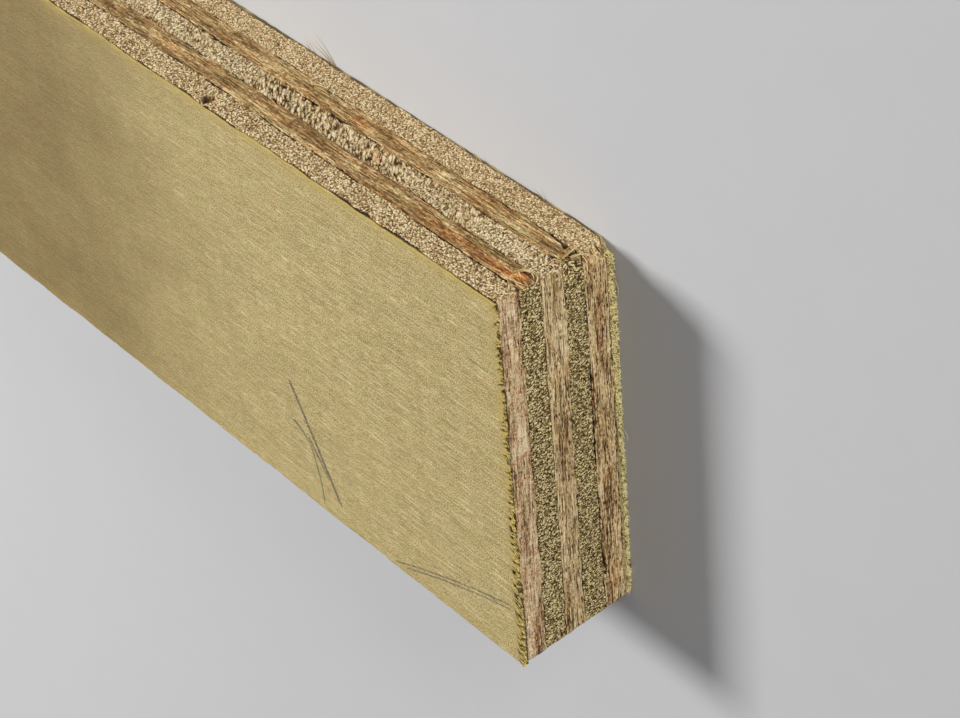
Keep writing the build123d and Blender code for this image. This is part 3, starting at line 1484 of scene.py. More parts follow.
@dataclass(frozen=True)
class FaceVeneer:
    """The thin show veneer, ragged where it was cut across its grain.

    The chips are in the ripped arris, by their distance from the near end. The fray is how
    deep the gaps between the broken fibres of the ends are, and the overhang how far the
    fibres stand out at the ripped edge. The insets are those of the face's loops, and the rows
    are the heights of the wall's rows as shares of the thickness.
    """

    name: str = "face_veneer"
    chips: tuple[float, ...] = (29.0, 47.0, 58.5)
    chip_length: float = 1.8
    chip_width: float = 0.5
    fray: float = 0.8
    overhang: float = 0.32
    insets: tuple[float, ...] = (0.06, 0.2, 0.4, 0.65, 1.0, 1.6, 2.6, 4.5, 8, 13, 19)
    rows: tuple[float, ...] = (0.86, 0.5, 0.14, 0.0)
    under_inset: float = 1.5

    def arris_loss(self, strip: Strip, outline: Outline) -> Array:
        """How far each column's arris lies behind the sawn plane, negative where it stands out.

        Along the grain it is a slow waver and the three-cornered chips. Across the grain, a
        random field one fibre wide leaves tongues and gaps between them, both growing towards
        the ripped edge.

        Args:
            strip: The strip.
            outline: The strip's columns.

        Returns:
            One length for each column.
        """
        places = outline.places
        waver = 0.3 * solid_noise(places, (5.5, 5.5, 1), Field.FACE_WAVER)
        waver = waver + 0.14 * solid_noise(places, (0.9, 0.9, 1), Field.FACE_NIBBLE)
        fibre = solid_noise(places, (5, 0.21, 1), Field.FACE_FIBRE)
        clump = solid_noise(places, (5, 1.1, 1), Field.FACE_CLUMP)
        low = rise(24, -26, outline.y)
        gaps = self.fray * rise(0.5, 0.75, fibre) * (0.12 + 0.45 * clump + 0.5 * low)
        tongues = rise(0.5, 0.3, fibre) * (0.05 + self.overhang * low * (0.3 + 0.9 * clump))
        loss = np.where(outline.across, gaps - tongues, waver)
        for from_end in self.chips:
            off = np.abs(outline.x - (strip.near - from_end)) / (self.chip_length / 2)
            chip = self.chip_width * np.clip(1 - off, 0, 1)
            loss = np.where(outline.on(Side.RIPPED), np.maximum(loss, chip), loss)
        return loss

    def build(self, strip: Strip, outline: Outline) -> Object:
        """Makes the veneer's object: its face loop by loop, its thin wall and its underside.

        Args:
            strip: The strip.
            outline: The strip's columns.

        Returns:
            The object, with its finish and its body.
        """
        loss = self.arris_loss(strip, outline)
        face = outline.loops(strip, (*self.insets, strip.clean), loss, FACE_JOINT + 1, 1.1)
        face[..., 2] -= 0.04 * solid_noise(face, (22, 3.0, 50), Field.FACE_SAG)
        bottom = strip.glue_line(FACE_JOINT, outline.x, outline.y)
        share = np.array(self.rows)[:, None]
        height = bottom + share * (strip.thickness - bottom)
        drawn = np.where(loss < 0, 0.25 + 0.75 * share, 1.0) * loss
        wall = stacked(outline.x, strip.lean(outline.y, height), height)
        wall = wall - drawn[..., None] * outline.out
        under_insets = (self.under_inset, strip.clean)
        under = outline.loops(strip, under_insets, np.maximum(loss, 0), FACE_JOINT)
        inset = (strip.clean, *self.insets[::-1], *(0,) * len(self.rows), *under_insets)
        inset = np.array(inset, dtype=float)[:, None]
        reach = np.where(outline.across, 0.75, 0.85)
        arris = np.exp(-inset / reach) * (1 - 0.7 * outline.on(Side.RIPPED))
        # Near black in the gaps between broken fibres, half at the wall's middle row and full below it:
        # painted shade of the gaps and of the slot under the fibres.
        shade_and_dark = outline.across * rise(0.08, 0.25, loss)[None, :] * np.exp(-inset / 0.55)
        row = np.arange(len(inset)) - len(face)
        shade_and_dark = np.maximum(shade_and_dark, ((row == 1) * 0.45 + (row > 1) * 0.9)[:, None])
        shades = {"arris": arris, "shade_and_dark": np.clip(shade_and_dark, 0, 0.9)}
        piece = Skin(np.concatenate([face[::-1], wall, under]), shades).build(self.name + "_wood")
        return dressed(piece, FaceFinish().material(), self.name)


@dataclass(frozen=True)
class BackVeneer:
    """The plain back veneer that the strip lies on, furred where it was cut across its grain.

    Its fray, insets and rows are of the show veneer's kinds.
    """

    name: str = "back_veneer"
    fray: float = 0.3
    lid_inset: float = 1.0
    rows: tuple[float, ...] = (1.0, 0.85, 0.6, 0.35, 0.12)
    insets: tuple[float, ...] = (0.1, 0.5, 1.5, 4, 9, 16)

    def build(self, strip: Strip, outline: Outline) -> Object:
        """Makes the veneer's object: a lid under the core, a thin wall and the flat back.

        Args:
            strip: The strip.
            outline: The strip's columns.

        Returns:
            The object, with its finish and its body.
        """
        places = outline.places
        fibre = solid_noise(places, (5, 0.25, 1), Field.BACK_FIBRE)
        waver = solid_noise(places, (1.2, 1.2, 1), Field.BACK_WAVER)
        loss = np.where(outline.across, self.fray * fibre, 0.2 * waver)
        lid = outline.loops(strip, (self.lid_inset, strip.clean), loss, 1)
        back = outline.loops(strip, (*self.insets, strip.clean), loss, 0)
        height = np.array(self.rows)[:, None] * strip.glue_line(1, outline.x, outline.y)
        wall = strip.break_corner(stacked(outline.x, strip.lean(outline.y, height), height))
        wall = wall - loss[None, :, None] * outline.out
        points = np.concatenate([lid[::-1], wall, back])
        patches = solid_noise(places, (1.6, 1.6, 1), Field.BACK_DARK)
        shade_and_dark = np.zeros(points.shape[:2])
        shade_and_dark[:len(lid) + len(wall)] = 0.85 * ~outline.across * rise(0.25, 0.6, patches)
        shade_and_dark[:len(lid) + 1] = 0.85
        piece = Skin(points, {"shade_and_dark": shade_and_dark}).build(self.name + "_wood")
        return dressed(piece, BackFinish().material(), self.name)


# Torn fibres


@dataclass
class Fibres:
    """Many thin fibres in one mesh, each closed at its root and its tip.

    The lines hold fibres first, stations second and the three axes last. Each fibre has a
    width at its root and a tone from 0 to 1, which its finish reads.
    """

    lines: Array
    widths: Array
    tones: Array

    @classmethod
    def bent(
        cls, roots: Array, headings: Array, bends: Array, lengths: Array,
        widths: Array, tones: Array, stations: int = 5,
    ) -> "Fibres":
        """Fibres whose line is root + length (heading t + bend t^2), for t from 0 to 1.

        Args:
            roots: Places of the roots.
            headings: Directions at the roots.
            bends: How far each fibre has bent at its tip, over its length.
            lengths: Lengths of the fibres.
            widths: Widths at the roots.
            tones: Tones from 0 to 1.
            stations: Number of places along each fibre.

        Returns:
            The fibres.
        """
        t = np.linspace(0, 1, stations)[None, :, None]
        heading = headings / np.linalg.norm(headings, axis=1, keepdims=True)
        reach = heading[:, None] * t + bends[:, None] * t**2
        return cls(roots[:, None] + lengths[:, None, None] * reach, widths, tones)

    @classmethod
    def through(
        cls, controls: Sequence[Sequence[Point]], widths: Sequence[float], tones: Sequence[float],
        stations: int = 12,
    ) -> "Fibres":
        """Fibres drawn through four control points each, as cubic Bezier curves.

        Args:
            controls: The four places of each fibre.
            widths: Widths at the roots.
            tones: Tones from 0 to 1.
            stations: Number of places along each fibre.

        Returns:
            The fibres.
        """
        t = np.linspace(0, 1, stations)[:, None]
        weights = ((1 - t)**3, 3 * t * (1 - t)**2, 3 * t**2 * (1 - t), t**3)
        weights = np.concatenate(weights, axis=1)
        lines = np.einsum("sk,nkc->nsc", weights, np.array(controls, dtype=float))
        return cls(lines, np.array(widths), np.array(tones))

    @classmethod
    def joined(cls, groups: Sequence["Fibres"]) -> "Fibres":
        """All the fibres of several groups.

        Args:
            groups: Groups with equal numbers of stations.

        Returns:
            One group.
        """
        return cls(*(
            np.concatenate([getattr(group, name) for group in groups])
            for name in ("lines", "widths", "tones")
        ))

    def build(self, name: str) -> Object:
        """Makes the mesh.

        Round each line goes a square whose half width is that of the root times 1 - t^2, drawn
        to a point at the tip. The square stands across the line's own direction.

        Args:
            name: Name of the piece.

        Returns:
            The object, without a finish.
        """
        count, stations = self.lines.shape[:2]
        t = np.linspace(0, 1, stations)
        lines = self.lines.copy()
        lines[..., 2] = np.maximum(lines[..., 2], self.widths[:, None] / 2 + 0.01)
        tangent = np.gradient(lines, axis=1)
        tangent /= np.linalg.norm(tangent, axis=2, keepdims=True) + 1e-9
        steep = np.abs(tangent[:, :1, 2:3]) > 0.8
        beside = np.cross(tangent, np.where(steep, [[[1.0, 0, 0]]], [[[0, 0, 1.0]]]))
        beside /= np.linalg.norm(beside, axis=2, keepdims=True) + 1e-9
        above = np.cross(tangent, beside)
        angle = np.linspace(0, 2 * math.pi, 5)[:4, None]
        ring = np.cos(angle) * beside[:, :, None] + np.sin(angle) * above[:, :, None]
        half = self.widths[:, None] / 2 * (1 - t**2)[None, :]
        body = lines[:, :-1, None] + half[:, :-1, None, None] * ring[:, :-1]
        points = np.concatenate([body.reshape(count, -1, 3), lines[:, -1:]], axis=1)
        tip = 4 * (stations - 1)
        step = np.arange(stations - 2)[:, None] * 4
        corner, beyond = np.arange(4)[None, :], (np.arange(4) + 1)[None, :] % 4
        quads = (step + corner, step + beyond, step + 4 + beyond, step + 4 + corner)
        quads = np.concatenate([[[3, 2, 1, 0]], np.stack(quads, axis=-1).reshape(-1, 4)])
        last = tip - 4
        tips = np.stack([last + corner[0], last + beyond[0], np.full(4, tip)], axis=-1)
        first = np.arange(count)[:, None, None] * (tip + 1)
        faces = (first + quads).reshape(-1, 4).tolist() + (first + tips).reshape(-1, 3).tolist()
        along = np.append(np.repeat(t[:-1], 4), 1.0)
        shades = {"tip": np.tile(along, count), "tone": np.repeat(self.tones, tip + 1)}
        return make_object(name, points.reshape(-1, 3), faces, shades)


@dataclass(frozen=True)
class FrayedEdges:
    """The fibres that stand out of the sawn sides: fringe, fur, tufts and loose hairs.

    The locks and the furs are counted at the near end and at the far one.
    """

    strip: Strip
    seed: int = 7
    locks: tuple[int, int] = (136, 70)
    furs: tuple[int, int] = (2400, 900)
    tuft_count: int = 1300

    def fringe(self, rng: np.random.Generator, end: float, locks: int) -> Fibres:
        """The show veneer's broken fibres over one end, gathered in small locks.

        A fibre starts a little inside the end, at a height within the veneer, and reaches out
        along the grain. The fibres of a lock share a heading, a reach and a tone.

        Args:
            rng: Random draws.
            end: 1 for the near end and -1 for the far one.
            locks: Number of locks.

        Returns:
            The fibres.
        """
        strip = self.strip
        count = LOCK_FIBRES * locks
        pitch = (strip.width - 0.3) / locks
        lock_y = -strip.clean + 0.1 + pitch * (np.arange(locks) + rng.uniform(0.1, 0.9, locks))
        draws = (lock_y, rng.normal(-0.15, 0.3, locks), rng.uniform(0.45, 1.25, locks),
                 rng.uniform(-0.3, 1, locks))
        lock_y, turn, reach, tone = (np.repeat(values, LOCK_FIBRES) for values in draws)
        low = rise(24, -26, lock_y)
        y = lock_y + rng.normal(0, 0.06, count)
        x = end * (strip.near - rng.uniform(-0.05, 0.3, count))
        z = strip.thickness - rng.uniform(0.0, 0.2 + 0.2 * low, count)
        turn = turn + rng.normal(0, 0.08, count)
        headings = stacked(end, turn, rng.normal(0.0, 0.1, count))
        bends = stacked(0.0, rng.normal(-0.2, 0.2, count), rng.uniform(-0.2, 0.1, count))
        lengths = (0.16 + 0.36 * low) * reach * rng.uniform(0.7, 1.25, count) + 0.2
        widths = rng.uniform(0.1, 0.16, count)
        # Dark locks among the bright ones are painted shade between them
        tones = np.clip(tone + rng.normal(0, 0.15, count), 0, 1)
        return Fibres.bent(stacked(x, y, z), headings, bends, lengths, widths, tones)

    def fur(self, rng: np.random.Generator, end: float, count: int) -> Fibres:
        """The back veneer's fur over one end, curling up and out.

        Args:
            rng: Random draws.
            end: 1 for the near end and -1 for the far one.
            count: Number of fibres.

        Returns:
            The fibres.
        """
        strip = self.strip
        y = rng.uniform(-strip.clean + strip.bevel + 0.1, strip.clean - 0.3, count)
        z = rng.uniform(0.05, 1.2, count) * (0.5 + 0.42 * rise(-12, 16, y))
        headings = stacked(end, rng.normal(-0.1, 0.45, count), rng.normal(0.0, 0.32, count))
        curl = end * rng.uniform(-0.6, 0.0, count)
        bends = stacked(curl, rng.normal(0, 0.4, count), rng.normal(0.0, 0.4, count))
        lengths = rng.gamma(5, 0.052, count) + 0.22
        widths = rng.uniform(0.1, 0.18, count)
        roots = strip.break_corner(stacked(end * (strip.near - 0.2), y, z))
        # Clumps of dark fibres: painted shade in the fur
        clump = solid_noise(roots, (1, 0.25, 0.25), Field.FUR_CLUMP)
        tones = np.clip(rise(0.24, 0.46, clump) + rng.normal(0, 0.18, count), 0, 1)
        return Fibres.bent(roots, headings, bends, lengths, widths, tones, stations=4)

    def tufts(self, rng: np.random.Generator) -> Fibres:
        """Pale tufts torn up along the lean of the centre cross ply's end grain.

        Args:
            rng: Random draws.

        Returns:
            The fibres.
        """
        strip, count = self.strip, self.tuft_count
        x = strip.near - rng.uniform(1, strip.length - 2, count)
        z = rng.uniform(strip.heights[3] + 0.2, strip.heights[4] - 0.3, count)
        side = np.where(rng.uniform(0, 1, count) < 0.7, 1.0, -1.0)
        y = strip.lean(side * strip.clean, z) - side * 0.2
        forward, out = rng.normal(0.75, 0.2, count), side * rng.uniform(0.1, 0.3, count)
        headings = stacked(forward, out, rng.normal(0.6, 0.2, count))
        bends = rng.normal(0, 0.12, (count, 3))
        bends[:, 1] = -side * rng.uniform(0.1, 0.3, count)
        lengths = rng.gamma(5, 0.1, count) + 0.25
        widths = rng.uniform(0.1, 0.2, count)
        tones = rng.uniform(0.2, 1, count)
        return Fibres.bent(stacked(x, y, z), headings, bends, lengths, widths, tones, stations=4)

    def curls(self) -> Fibres:
        """Curled splinters at the torn corner, and the loose hairs of the back arris.

        Each row holds a width, a tone and four control points, whose Y is measured from the
        clean edge.

        Returns:
            The fibres.
        """
        rows = (
            # The cream loop round the knob of the upper long ply
            (0.3, 0.9, (149.2, 0.15, 12.6), (149.6, 0.5, 11.4), (150.6, 0.5, 10.9), (151.9, 0.15, 11.3)),
            (0.26, 0.6, (149.5, 0.15, 12.2), (150.0, 0.4, 11.3), (151.2, 0.5, 11.0), (152.2, 0.15, 12.0)),
            (0.3, 0.8, (150.9, 0.15, 11.0), (151.9, 0.4, 10.9), (152.6, 0.2, 11.6), (152.5, -0.3, 12.3)),
            (0.22, 1.0, (149.7, 0, 12.3), (150.0, 0.7, 12.4), (150.5, 0.7, 12.7), (151.0, 0.2, 13.0)),
            (0.24, 0.5, (149.9, 0, 13.4), (150.8, 0.4, 13.9), (151.8, 0.4, 13.8), (152.4, 0, 13.0)),
            # The wisps over the lower joint, where the lower long ply meets the lower cross ply
            (0.26, 1.0, (98.0, -0.05, 4.9), (98.8, 0.4, 5.0), (99.8, 0.4, 4.4), (100.4, 0, 4.3)),
            (0.22, 0.9, (97.0, -0.05, 4.5), (97.3, 0.5, 4.8), (97.9, 0.4, 5.1), (98.4, 0, 4.8)),
            (0.2, 0.7, (97.5, -0.05, 3.8), (97.5, 0.3, 4.0), (97.4, 0.3, 4.4), (97.0, 0, 4.7)),
            # The loose hairs
            (0.22, 0.35, (96.4, -0.2, 0.1), (95.2, 1.2, 0.3), (93.4, 2.4, 0.5), (91.0, 3.6, 0.9)),
            (0.14, 0.3, (96.0, -0.2, 0.2), (94.6, 0.9, 0.2), (92.6, 1.5, 0.4), (90.4, 2.3, 0.9)),
            (0.12, 0.3, (91.6, -0.2, 0.3), (91.2, 0.6, 0.3), (90.4, 1.1, 0.4), (89.3, 1.0, 0.4)),
            (0.12, 0.25, (139.6, -0.2, 0.2), (139.3, 0.4, 0.3), (138.4, 0.9, 0.5), (137.9, 1.6, 0.8)),
            (0.12, 0.3, (127.6, -0.2, 0.5), (127.5, 0.2, 0.5), (127.1, 0.4, 0.5), (126.8, 0.8, 0.6)),
            # Long hairs of the fur
            (0.14, 1.0, (152.3, -27.1, 0.5), (153.3, -27.4, 0.3), (153.8, -28.4, 0.2), (154.1, -28.3, 0.9)),
            (0.2, 1.0, (152.3, -4.6, 0.6), (153.0, -5.0, 0.3), (153.3, -6.2, 0.2), (153.0, -7.4, 0.3)),
        )
        controls = np.array([row[2:] for row in rows]) + np.array([0.0, self.strip.clean, 0.0])
        return Fibres.through(controls, [row[0] for row in rows], [row[1] for row in rows])

    def flap(self, rng: np.random.Generator) -> Fibres:
        """The ridge and the ledge of the flap torn up at the lower corner, as close strands.

        Args:
            rng: Random draws.

        Returns:
            The fibres.
        """
        paths = np.array([
            [(150.85, 0, 6.55), (150.85, 0.35, 5.8), (150.6, 0.45, 4.6), (150.0, 0, 2.75)],
            [(151.35, 0, 5.75), (151.5, 0.2, 5.2), (151.75, 0.2, 4.5), (151.85, -0.1, 3.9)],
        ]) + np.array([0.0, self.strip.clean, 0.0])
        controls, widths, tones = [], [], []
        for path, spread in zip(paths, (0.2, 0.13)):
            for strand in np.linspace(0, 2, 5):
                aside = np.array([-0.9, -0.3, -0.35]) * spread * strand
                controls.append(path + aside + rng.normal(0, 0.06, (4, 3)))
                widths.append(rng.uniform(0.16, 0.26))
                # The lead strand of each path is pale; the others are partly dark, painted shade in the
                # slits between them
                tones.append(rng.uniform(0.6, 1.0) if strand == 0 else rng.uniform(0.1, 0.8))
        return Fibres.through(controls, widths, tones)

    def build(self) -> list[Object]:
        """Makes the object of each group of fibres, with its finish and its body.

        Returns:
            The objects.
        """
        rngs = [np.random.default_rng(self.seed + group) for group in range(4)]
        ends = (1.0, -1.0)
        fringe = Fibres.joined([self.fringe(rngs[0], *end) for end in zip(ends, self.locks)])
        fur = Fibres.joined([self.fur(rngs[1], *end) for end in zip(ends, self.furs)])
        groups = (
            (
                fringe, "face_veneer_fringe", "face_veneer",
                FibreFinish("golden_fringe", (0.06, 0.038, 0.006), (0.5, 0.34, 0.065), (1.0, 0.82, 0.33)),
            ),
            (
                fur, "back_veneer_fur", "back_veneer",
                FibreFinish("yellow_fur", (0.17, 0.115, 0.028), (0.9, 0.67, 0.22), (1.0, 0.95, 0.55)),
            ),
            (
                self.tufts(rngs[2]), "centre_cross_ply_tufts", "cross_ply",
                FibreFinish("pale_tufts", (0.2, 0.13, 0.06), (0.44, 0.33, 0.17), (0.74, 0.62, 0.42)),
            ),
            (
                self.curls(), "corner_splinters", "long_ply",
                FibreFinish("cream_splinters", (0.16, 0.1, 0.04), (0.44, 0.31, 0.13), (0.85, 0.7, 0.42)),
            ),
            (
                self.flap(rngs[3]), "corner_flap", "long_ply",
                FibreFinish("torn_flap", (0.2, 0.12, 0.045), (0.55, 0.4, 0.17), (0.85, 0.68, 0.36)),
            ),
        )
        return [
            dressed(fibres.build(name), finish.material())
            for fibres, name, slot, finish in groups
        ]


# Floor, lights and camera


@dataclass(frozen=True)
class Lamp:
    """A square area lamp, placed by the direction that its light comes from.

    Its level is how bright a white surface that faces it becomes.
    """

    name: str
    source: Point
    distance: float
    size: float
    level: float
    tint: Colour

    def build(self, aim: Vector) -> None:
        """Makes the lamp.

        A square lamp of power P lights a facing surface at a distance r with P / (pi r^2), and
        a white surface sends a share 1 / pi of that to the eye, so P is level pi^2 r^2.

        Args:
            aim: The place that the lamp faces.
        """
        light = bpy.data.lights.new(self.name, "AREA")
        light.size = self.size * MM
        light.energy = self.level * (math.pi * self.distance * MM) ** 2
        light.color = self.tint
        lamp = bpy.data.objects.new(self.name, light)
        toward = Vector(self.source).normalized()
        lamp.location = (aim + toward * self.distance) * MM
        lamp.rotation_mode = "QUATERNION"
        lamp.rotation_quaternion = (-toward).to_track_quat("-Z", "Y")
        bpy.context.scene.collection.objects.link(lamp)


@dataclass(frozen=True)
class Studio:
    """The plain floor, the soft light and the camera.

    The camera's place is measured from the near clean corner of the show face. Ahead is the
    view's axis and right the picture's right-hand direction, in the strip's own frame. Only
    the camera and gloss see the sky's tone, and a white sky of its strength lights the strip.
    """

    floor_tone: Colour = (0.545, 0.55, 0.57)
    mottle_tone: Colour = (0.45, 0.455, 0.48)
    floor_half: float = 3000.0
    sky_tone: Colour = (0.56, 0.565, 0.58)
    sky_strength: float = 0.22
    camera_place: Point = (254.3, 221.0, 183.05)
    ahead: Point = (-0.6589, -0.5896, -0.4671)
    right: Point = (0.6156, -0.0659, -0.7853)
    lens: float = 124.32
    lamps: tuple[Lamp, ...] = (
        Lamp("key_lamp", (-0.72, 0.14, 0.68), 1100, 300, 1.02, (1.0, 0.985, 0.96)),
        Lamp("side_lamp", (0.70, 0.69, 0.16), 1100, 400, 0.62, (1.0, 0.99, 0.97)),
    )

    def floor(self) -> None:
        """A pale paper-like floor, well past the view on every side."""
        corners = np.array([(-1, -1, 0), (1, -1, 0), (1, 1, 0), (-1, 1, 0)]) * self.floor_half
        ground = make_object("floor", corners, [[0, 1, 2, 3]], {})
        graph = Graph("pale_paper")
        mottle = graph.span(graph.noise((9, 9, 9), 3, 0.6), 0.35, 0.65, 0, 0.05)
        colour = graph.mix(mottle, self.floor_tone, self.mottle_tone)
        ground.data.materials.append(graph.finish(colour, 0.9, 0.2))
        ground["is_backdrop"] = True

    def world(self) -> None:
        """An even sky that lights the strip, and a pale one that only the camera and gloss see."""
        world = bpy.data.worlds.new("soft_sky")
        bpy.context.scene.world = world
        world.use_nodes = True
        sky = Nodes(world.node_tree)
        light = sky.tree.nodes["Background"]
        sky.put(light.inputs["Color"], (1.0, 1.0, 1.0))
        sky.put(light.inputs["Strength"], self.sky_strength)
        seen = sky.add("Background", {"Color": self.sky_tone})
        rays = sky.add("LightPath", {}).outputs
        kinds = {0: rays["Is Camera Ray"], 1: rays["Is Glossy Ray"]}
        share = sky.add("Math", kinds, operation="MAXIMUM").outputs[0]
        both = sky.add("MixShader", {0: share, 1: light.outputs[0], 2: seen.outputs[0]})
        sky.put(sky.tree.nodes["World Output"].inputs[0], both.outputs[0])

    def camera(self, corner: Vector) -> None:
        """The camera, above and beyond the knocked corner, rolled as the photograph is.

        Args:
            corner: The near clean corner of the show face.
        """
        ahead = Vector(self.ahead).normalized()
        right = Vector(self.right)
        right = (right - ahead * right.dot(ahead)).normalized()
        data = bpy.data.cameras.new("camera")
        data.sensor_fit = "HORIZONTAL"
        data.sensor_width = 36
        data.lens = self.lens
        data.clip_start, data.clip_end = 0.01, 20
        camera = bpy.data.objects.new("camera", data)
        turn = Matrix((right, right.cross(ahead), -ahead)).transposed().to_4x4()
        camera.matrix_world = Matrix.Translation((corner + Vector(self.camera_place)) * MM) @ turn
        bpy.context.scene.collection.objects.link(camera)
        bpy.context.scene.camera = camera

    def build(self, strip: Strip) -> None:
        """Sets the floor, the sky, the lamps and the camera.

        Args:
            strip: The strip.
        """
        corner = Vector((strip.near, strip.clean, strip.thickness))
        self.floor()
        self.world()
        for lamp in self.lamps:
            lamp.build(corner)
        self.camera(corner)
        bpy.context.scene.view_settings.view_transform = "Standard"


# The core plies as they lie from the floor up

PINK_END = Tones((0.12, 0.06, 0.02), (0.41, 0.265, 0.112), (0.71, 0.515, 0.265), (1.0, 0.92, 0.65), 1.15)
PEACH_END = Tones((0.15, 0.085, 0.03), (0.44, 0.29, 0.13), (0.73, 0.52, 0.28), (1.0, 0.9, 0.62), 1.12)
CREAM_END = Tones((0.07, 0.035, 0.013), (0.42, 0.285, 0.125), (0.83, 0.62, 0.345), (1.0, 0.95, 0.72), 1.08)
OLIVE_END = Tones((0.035, 0.02, 0.006), (0.205, 0.136, 0.045), (0.52, 0.372, 0.152), (1.0, 0.9, 0.53), 1.35)
PINK_LONG = Tones((0.14, 0.07, 0.03), (0.52, 0.36, 0.185), (0.78, 0.59, 0.35), (1.0, 0.86, 0.6), 1.12)
TAN_LONG = Tones((0.1, 0.05, 0.018), (0.46, 0.32, 0.148), (0.73, 0.55, 0.295), (1.0, 0.86, 0.56), 1.08)
RUSSET_LONG = Tones((0.08, 0.035, 0.012), (0.43, 0.28, 0.13), (0.72, 0.51, 0.255), (1.0, 0.86, 0.54), 1.22)
BROWN_LONG = Tones((0.12, 0.058, 0.016), (0.29, 0.176, 0.068), (0.45, 0.3, 0.122), (0.9, 0.72, 0.39), 1.15)

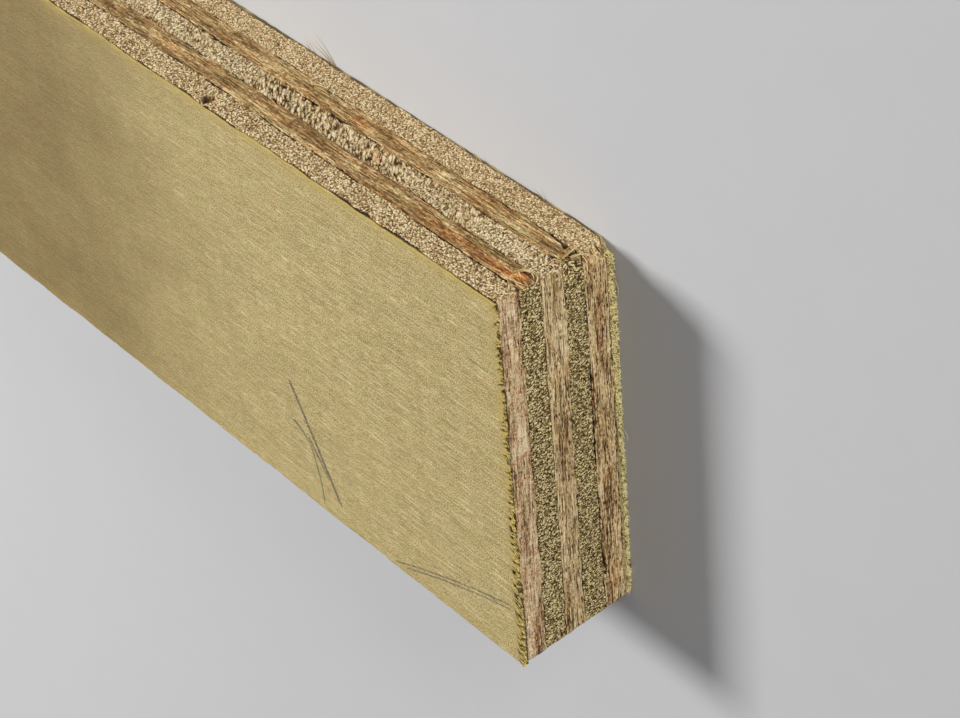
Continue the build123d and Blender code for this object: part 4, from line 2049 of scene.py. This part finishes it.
CORE_PLIES = (
    CorePly(
        "lower_cross_ply", 1,
        CoreFinish(
            "lower_cross_ply_sawn", Grain.ACROSS, PEACH_END, RUSSET_LONG, tuft=(0.4, 0.3), lean=35,
            figure=0.3, dash=0.38, warmth=0.8, origin=(0, 0, 0),
        ),
        "cross_ply", 0.7,
        (
            Mark(Side.NEAR, -18.5, 4.1, 3.6, 0.34, 1.4),
            Mark(Side.CLEAN, 147.6, 3.9, 0.9, 0.18, 0.25, -35, Tint.HOLLOW_SHADE, 1.0),
            Mark(Side.CLEAN, 131.9, 1.1, 0.3, 0.2, 0.3),
            Mark(Side.CLEAN, 86.5, 2.2, 0.45, 0.25, 0.4, 40),
        ),
    ),
    CorePly(
        "lower_long_ply", 2,
        CoreFinish(
            "lower_long_ply_sawn", Grain.ALONG, OLIVE_END, BROWN_LONG, tuft=(0.42, 0.24), lean=-70,
            figure=0.4, dash=0.28, warmth=1.0, origin=(5.1, 1.7, 3.3),
        ),
        "long_ply", 1.0,
        (
            # At the torn corner: hollows, slits and a line under the ledge, darkened as painted shade; a
            # swelling; and a rust stain further along
            Mark(Side.CLEAN, 148.9, 4.5, 0.75, 0.45, 0.9, 15),
            Mark(Side.CLEAN, 148.95, 4.5, 1.0, 0.5, 0.0, 15, Tint.HOLLOW_SHADE, 1.0),
            Mark(Side.CLEAN, 149.35, 4.8, 0.8, 0.42, 0.35, 77, Tint.HOLLOW_SHADE, 1.0),
            Mark(Side.CLEAN, 147.2, 4.35, 1.3, 0.22, 0.25, 4, Tint.HOLLOW_SHADE, 1.0),
            Mark(Side.CLEAN, 150.9, 4.85, 0.9, 0.5, 0.35, -86, Tint.HOLLOW_SHADE, 1.0),
            Mark(Side.CLEAN, 151.4, 5.95, 0.65, 0.5, 0.2, 52, Tint.HOLLOW_SHADE, 1.0),
            Mark(Side.CLEAN, 151.95, 5.35, 0.7, 0.2, 0.1, -60, Tint.HOLLOW_SHADE, 0.8),
            Mark(Side.CLEAN, 149.7, 6.95, 0.9, 0.2, 0.2, -8, Tint.HOLLOW_SHADE, 1.0),
            Mark(Side.CLEAN, 150.1, 5.3, 1.5, 0.6, -0.35, -100, Tint.NONE),
            Mark(Side.CLEAN, 110.0, 5.8, 2.6, 1.0, 0.0, 0, Tint.RUST, 0.5),
        ),
        torn_back=1.35,
    ),
    CorePly(
        "centre_cross_ply", 3,
        CoreFinish(
            "centre_cross_ply_sawn", Grain.ACROSS, CREAM_END, TAN_LONG, tuft=(0.42, 0.3), lean=42,
            figure=0.35, dash=0.37, warmth=0.45, origin=(2.9, 8.3, 1.1),
        ),
        "cross_ply", 1.1,
        (
            Mark(Side.NEAR, 24.6, 9.2, 2.7, 0.12, 0.4),
            Mark(Side.CLEAN, 117.5, 9.0, 2.0, 0.9, 0.1, 20, Tint.RUST, 0.45),
        ),
        torn=(91.5, 125.0),
    ),
    CorePly(
        "upper_long_ply", 4,
        CoreFinish(
            "upper_long_ply_sawn", Grain.ALONG, OLIVE_END, BROWN_LONG, tuft=(0.42, 0.24), lean=-70,
            figure=0.4, dash=0.28, warmth=1.0, origin=(9.7, 4.1, 6.2),
        ),
        "long_ply", 1.0,
        (
            Mark(Side.CLEAN, 140.0, 12.9, 9.5, 0.75, 0.0, 0, Tint.RUST, 0.6),
            Mark(Side.CLEAN, 146.8, 13.0, 3.6, 0.55, 0.0, 0, Tint.RUST, 0.9),
            Mark(Side.CLEAN, 150.7, 12.8, 1.4, 1.0, -0.35, 0, Tint.RUST, 1.0),
            Mark(Side.CLEAN, 152.2, 12.6, 0.4, 0.25, 0.5),
            Mark(Side.CLEAN, 150.1, 11.4, 0.9, 0.16, 0.35),
            Mark(Side.CLEAN, 150.4, 13.8, 1.0, 0.14, 0.35),
        ),
    ),
    CorePly(
        "upper_cross_ply", 5,
        CoreFinish(
            "upper_cross_ply_sawn", Grain.ACROSS, PINK_END, PINK_LONG, tuft=(0.42, 0.3), lean=35,
            figure=1.0, dash=0.2, warmth=0.2, origin=(6.3, 2.2, 7.9),
        ),
        "cross_ply", 0.9,
        (
            Mark(Side.CLEAN, 91.5, 16.7, 0.65, 0.9, 1.3),
            Mark(Side.CLEAN, 91.4, 16.7, 0.95, 0.75, 0.0, 0, Tint.HOLLOW_SHADE, 0.97),
            Mark(Side.CLEAN, 91.9, 16.6, 1.3, 0.9, 0.0, 0, Tint.RUST, 0.45),
            Mark(Side.NEAR, 20.2, 16.8, 1.4, 0.4, 0.0, 60, Tint.RUST, 0.3),
            Mark(Side.NEAR, 14.2, 16.2, 1.0, 0.7, 0.0, 0, Tint.RUST, 0.25),
        ),
    ),
)


def main() -> None:
    """Builds the strip from the floor up, then the studio, and reports each piece."""
    logging.basicConfig(level=logging.INFO, format="%(name)s: %(message)s")
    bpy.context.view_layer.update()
    strip = Strip.from_frame()
    outline = Outline.around(strip, end_step=0.115, runs=((60, 0.13), (130, 0.22), (305, 0.9)))
    thin_outline = Outline.around(strip, end_step=0.08, runs=((30, 0.2), (130, 0.4), (305, 0.9)))
    pieces = [ply.build(strip, outline) for ply in CORE_PLIES]
    pieces.append(FaceVeneer().build(strip, thin_outline))
    pieces.append(BackVeneer().build(strip, thin_outline))
    pieces += FrayedEdges(strip).build()
    for piece in pieces:
        triangles = sum(len(face.vertices) - 2 for face in piece.data.polygons)
        LOG.info("%s: %d triangles", piece.name, triangles)
    Studio().build(strip)


if __name__ == "__main__":
    main()
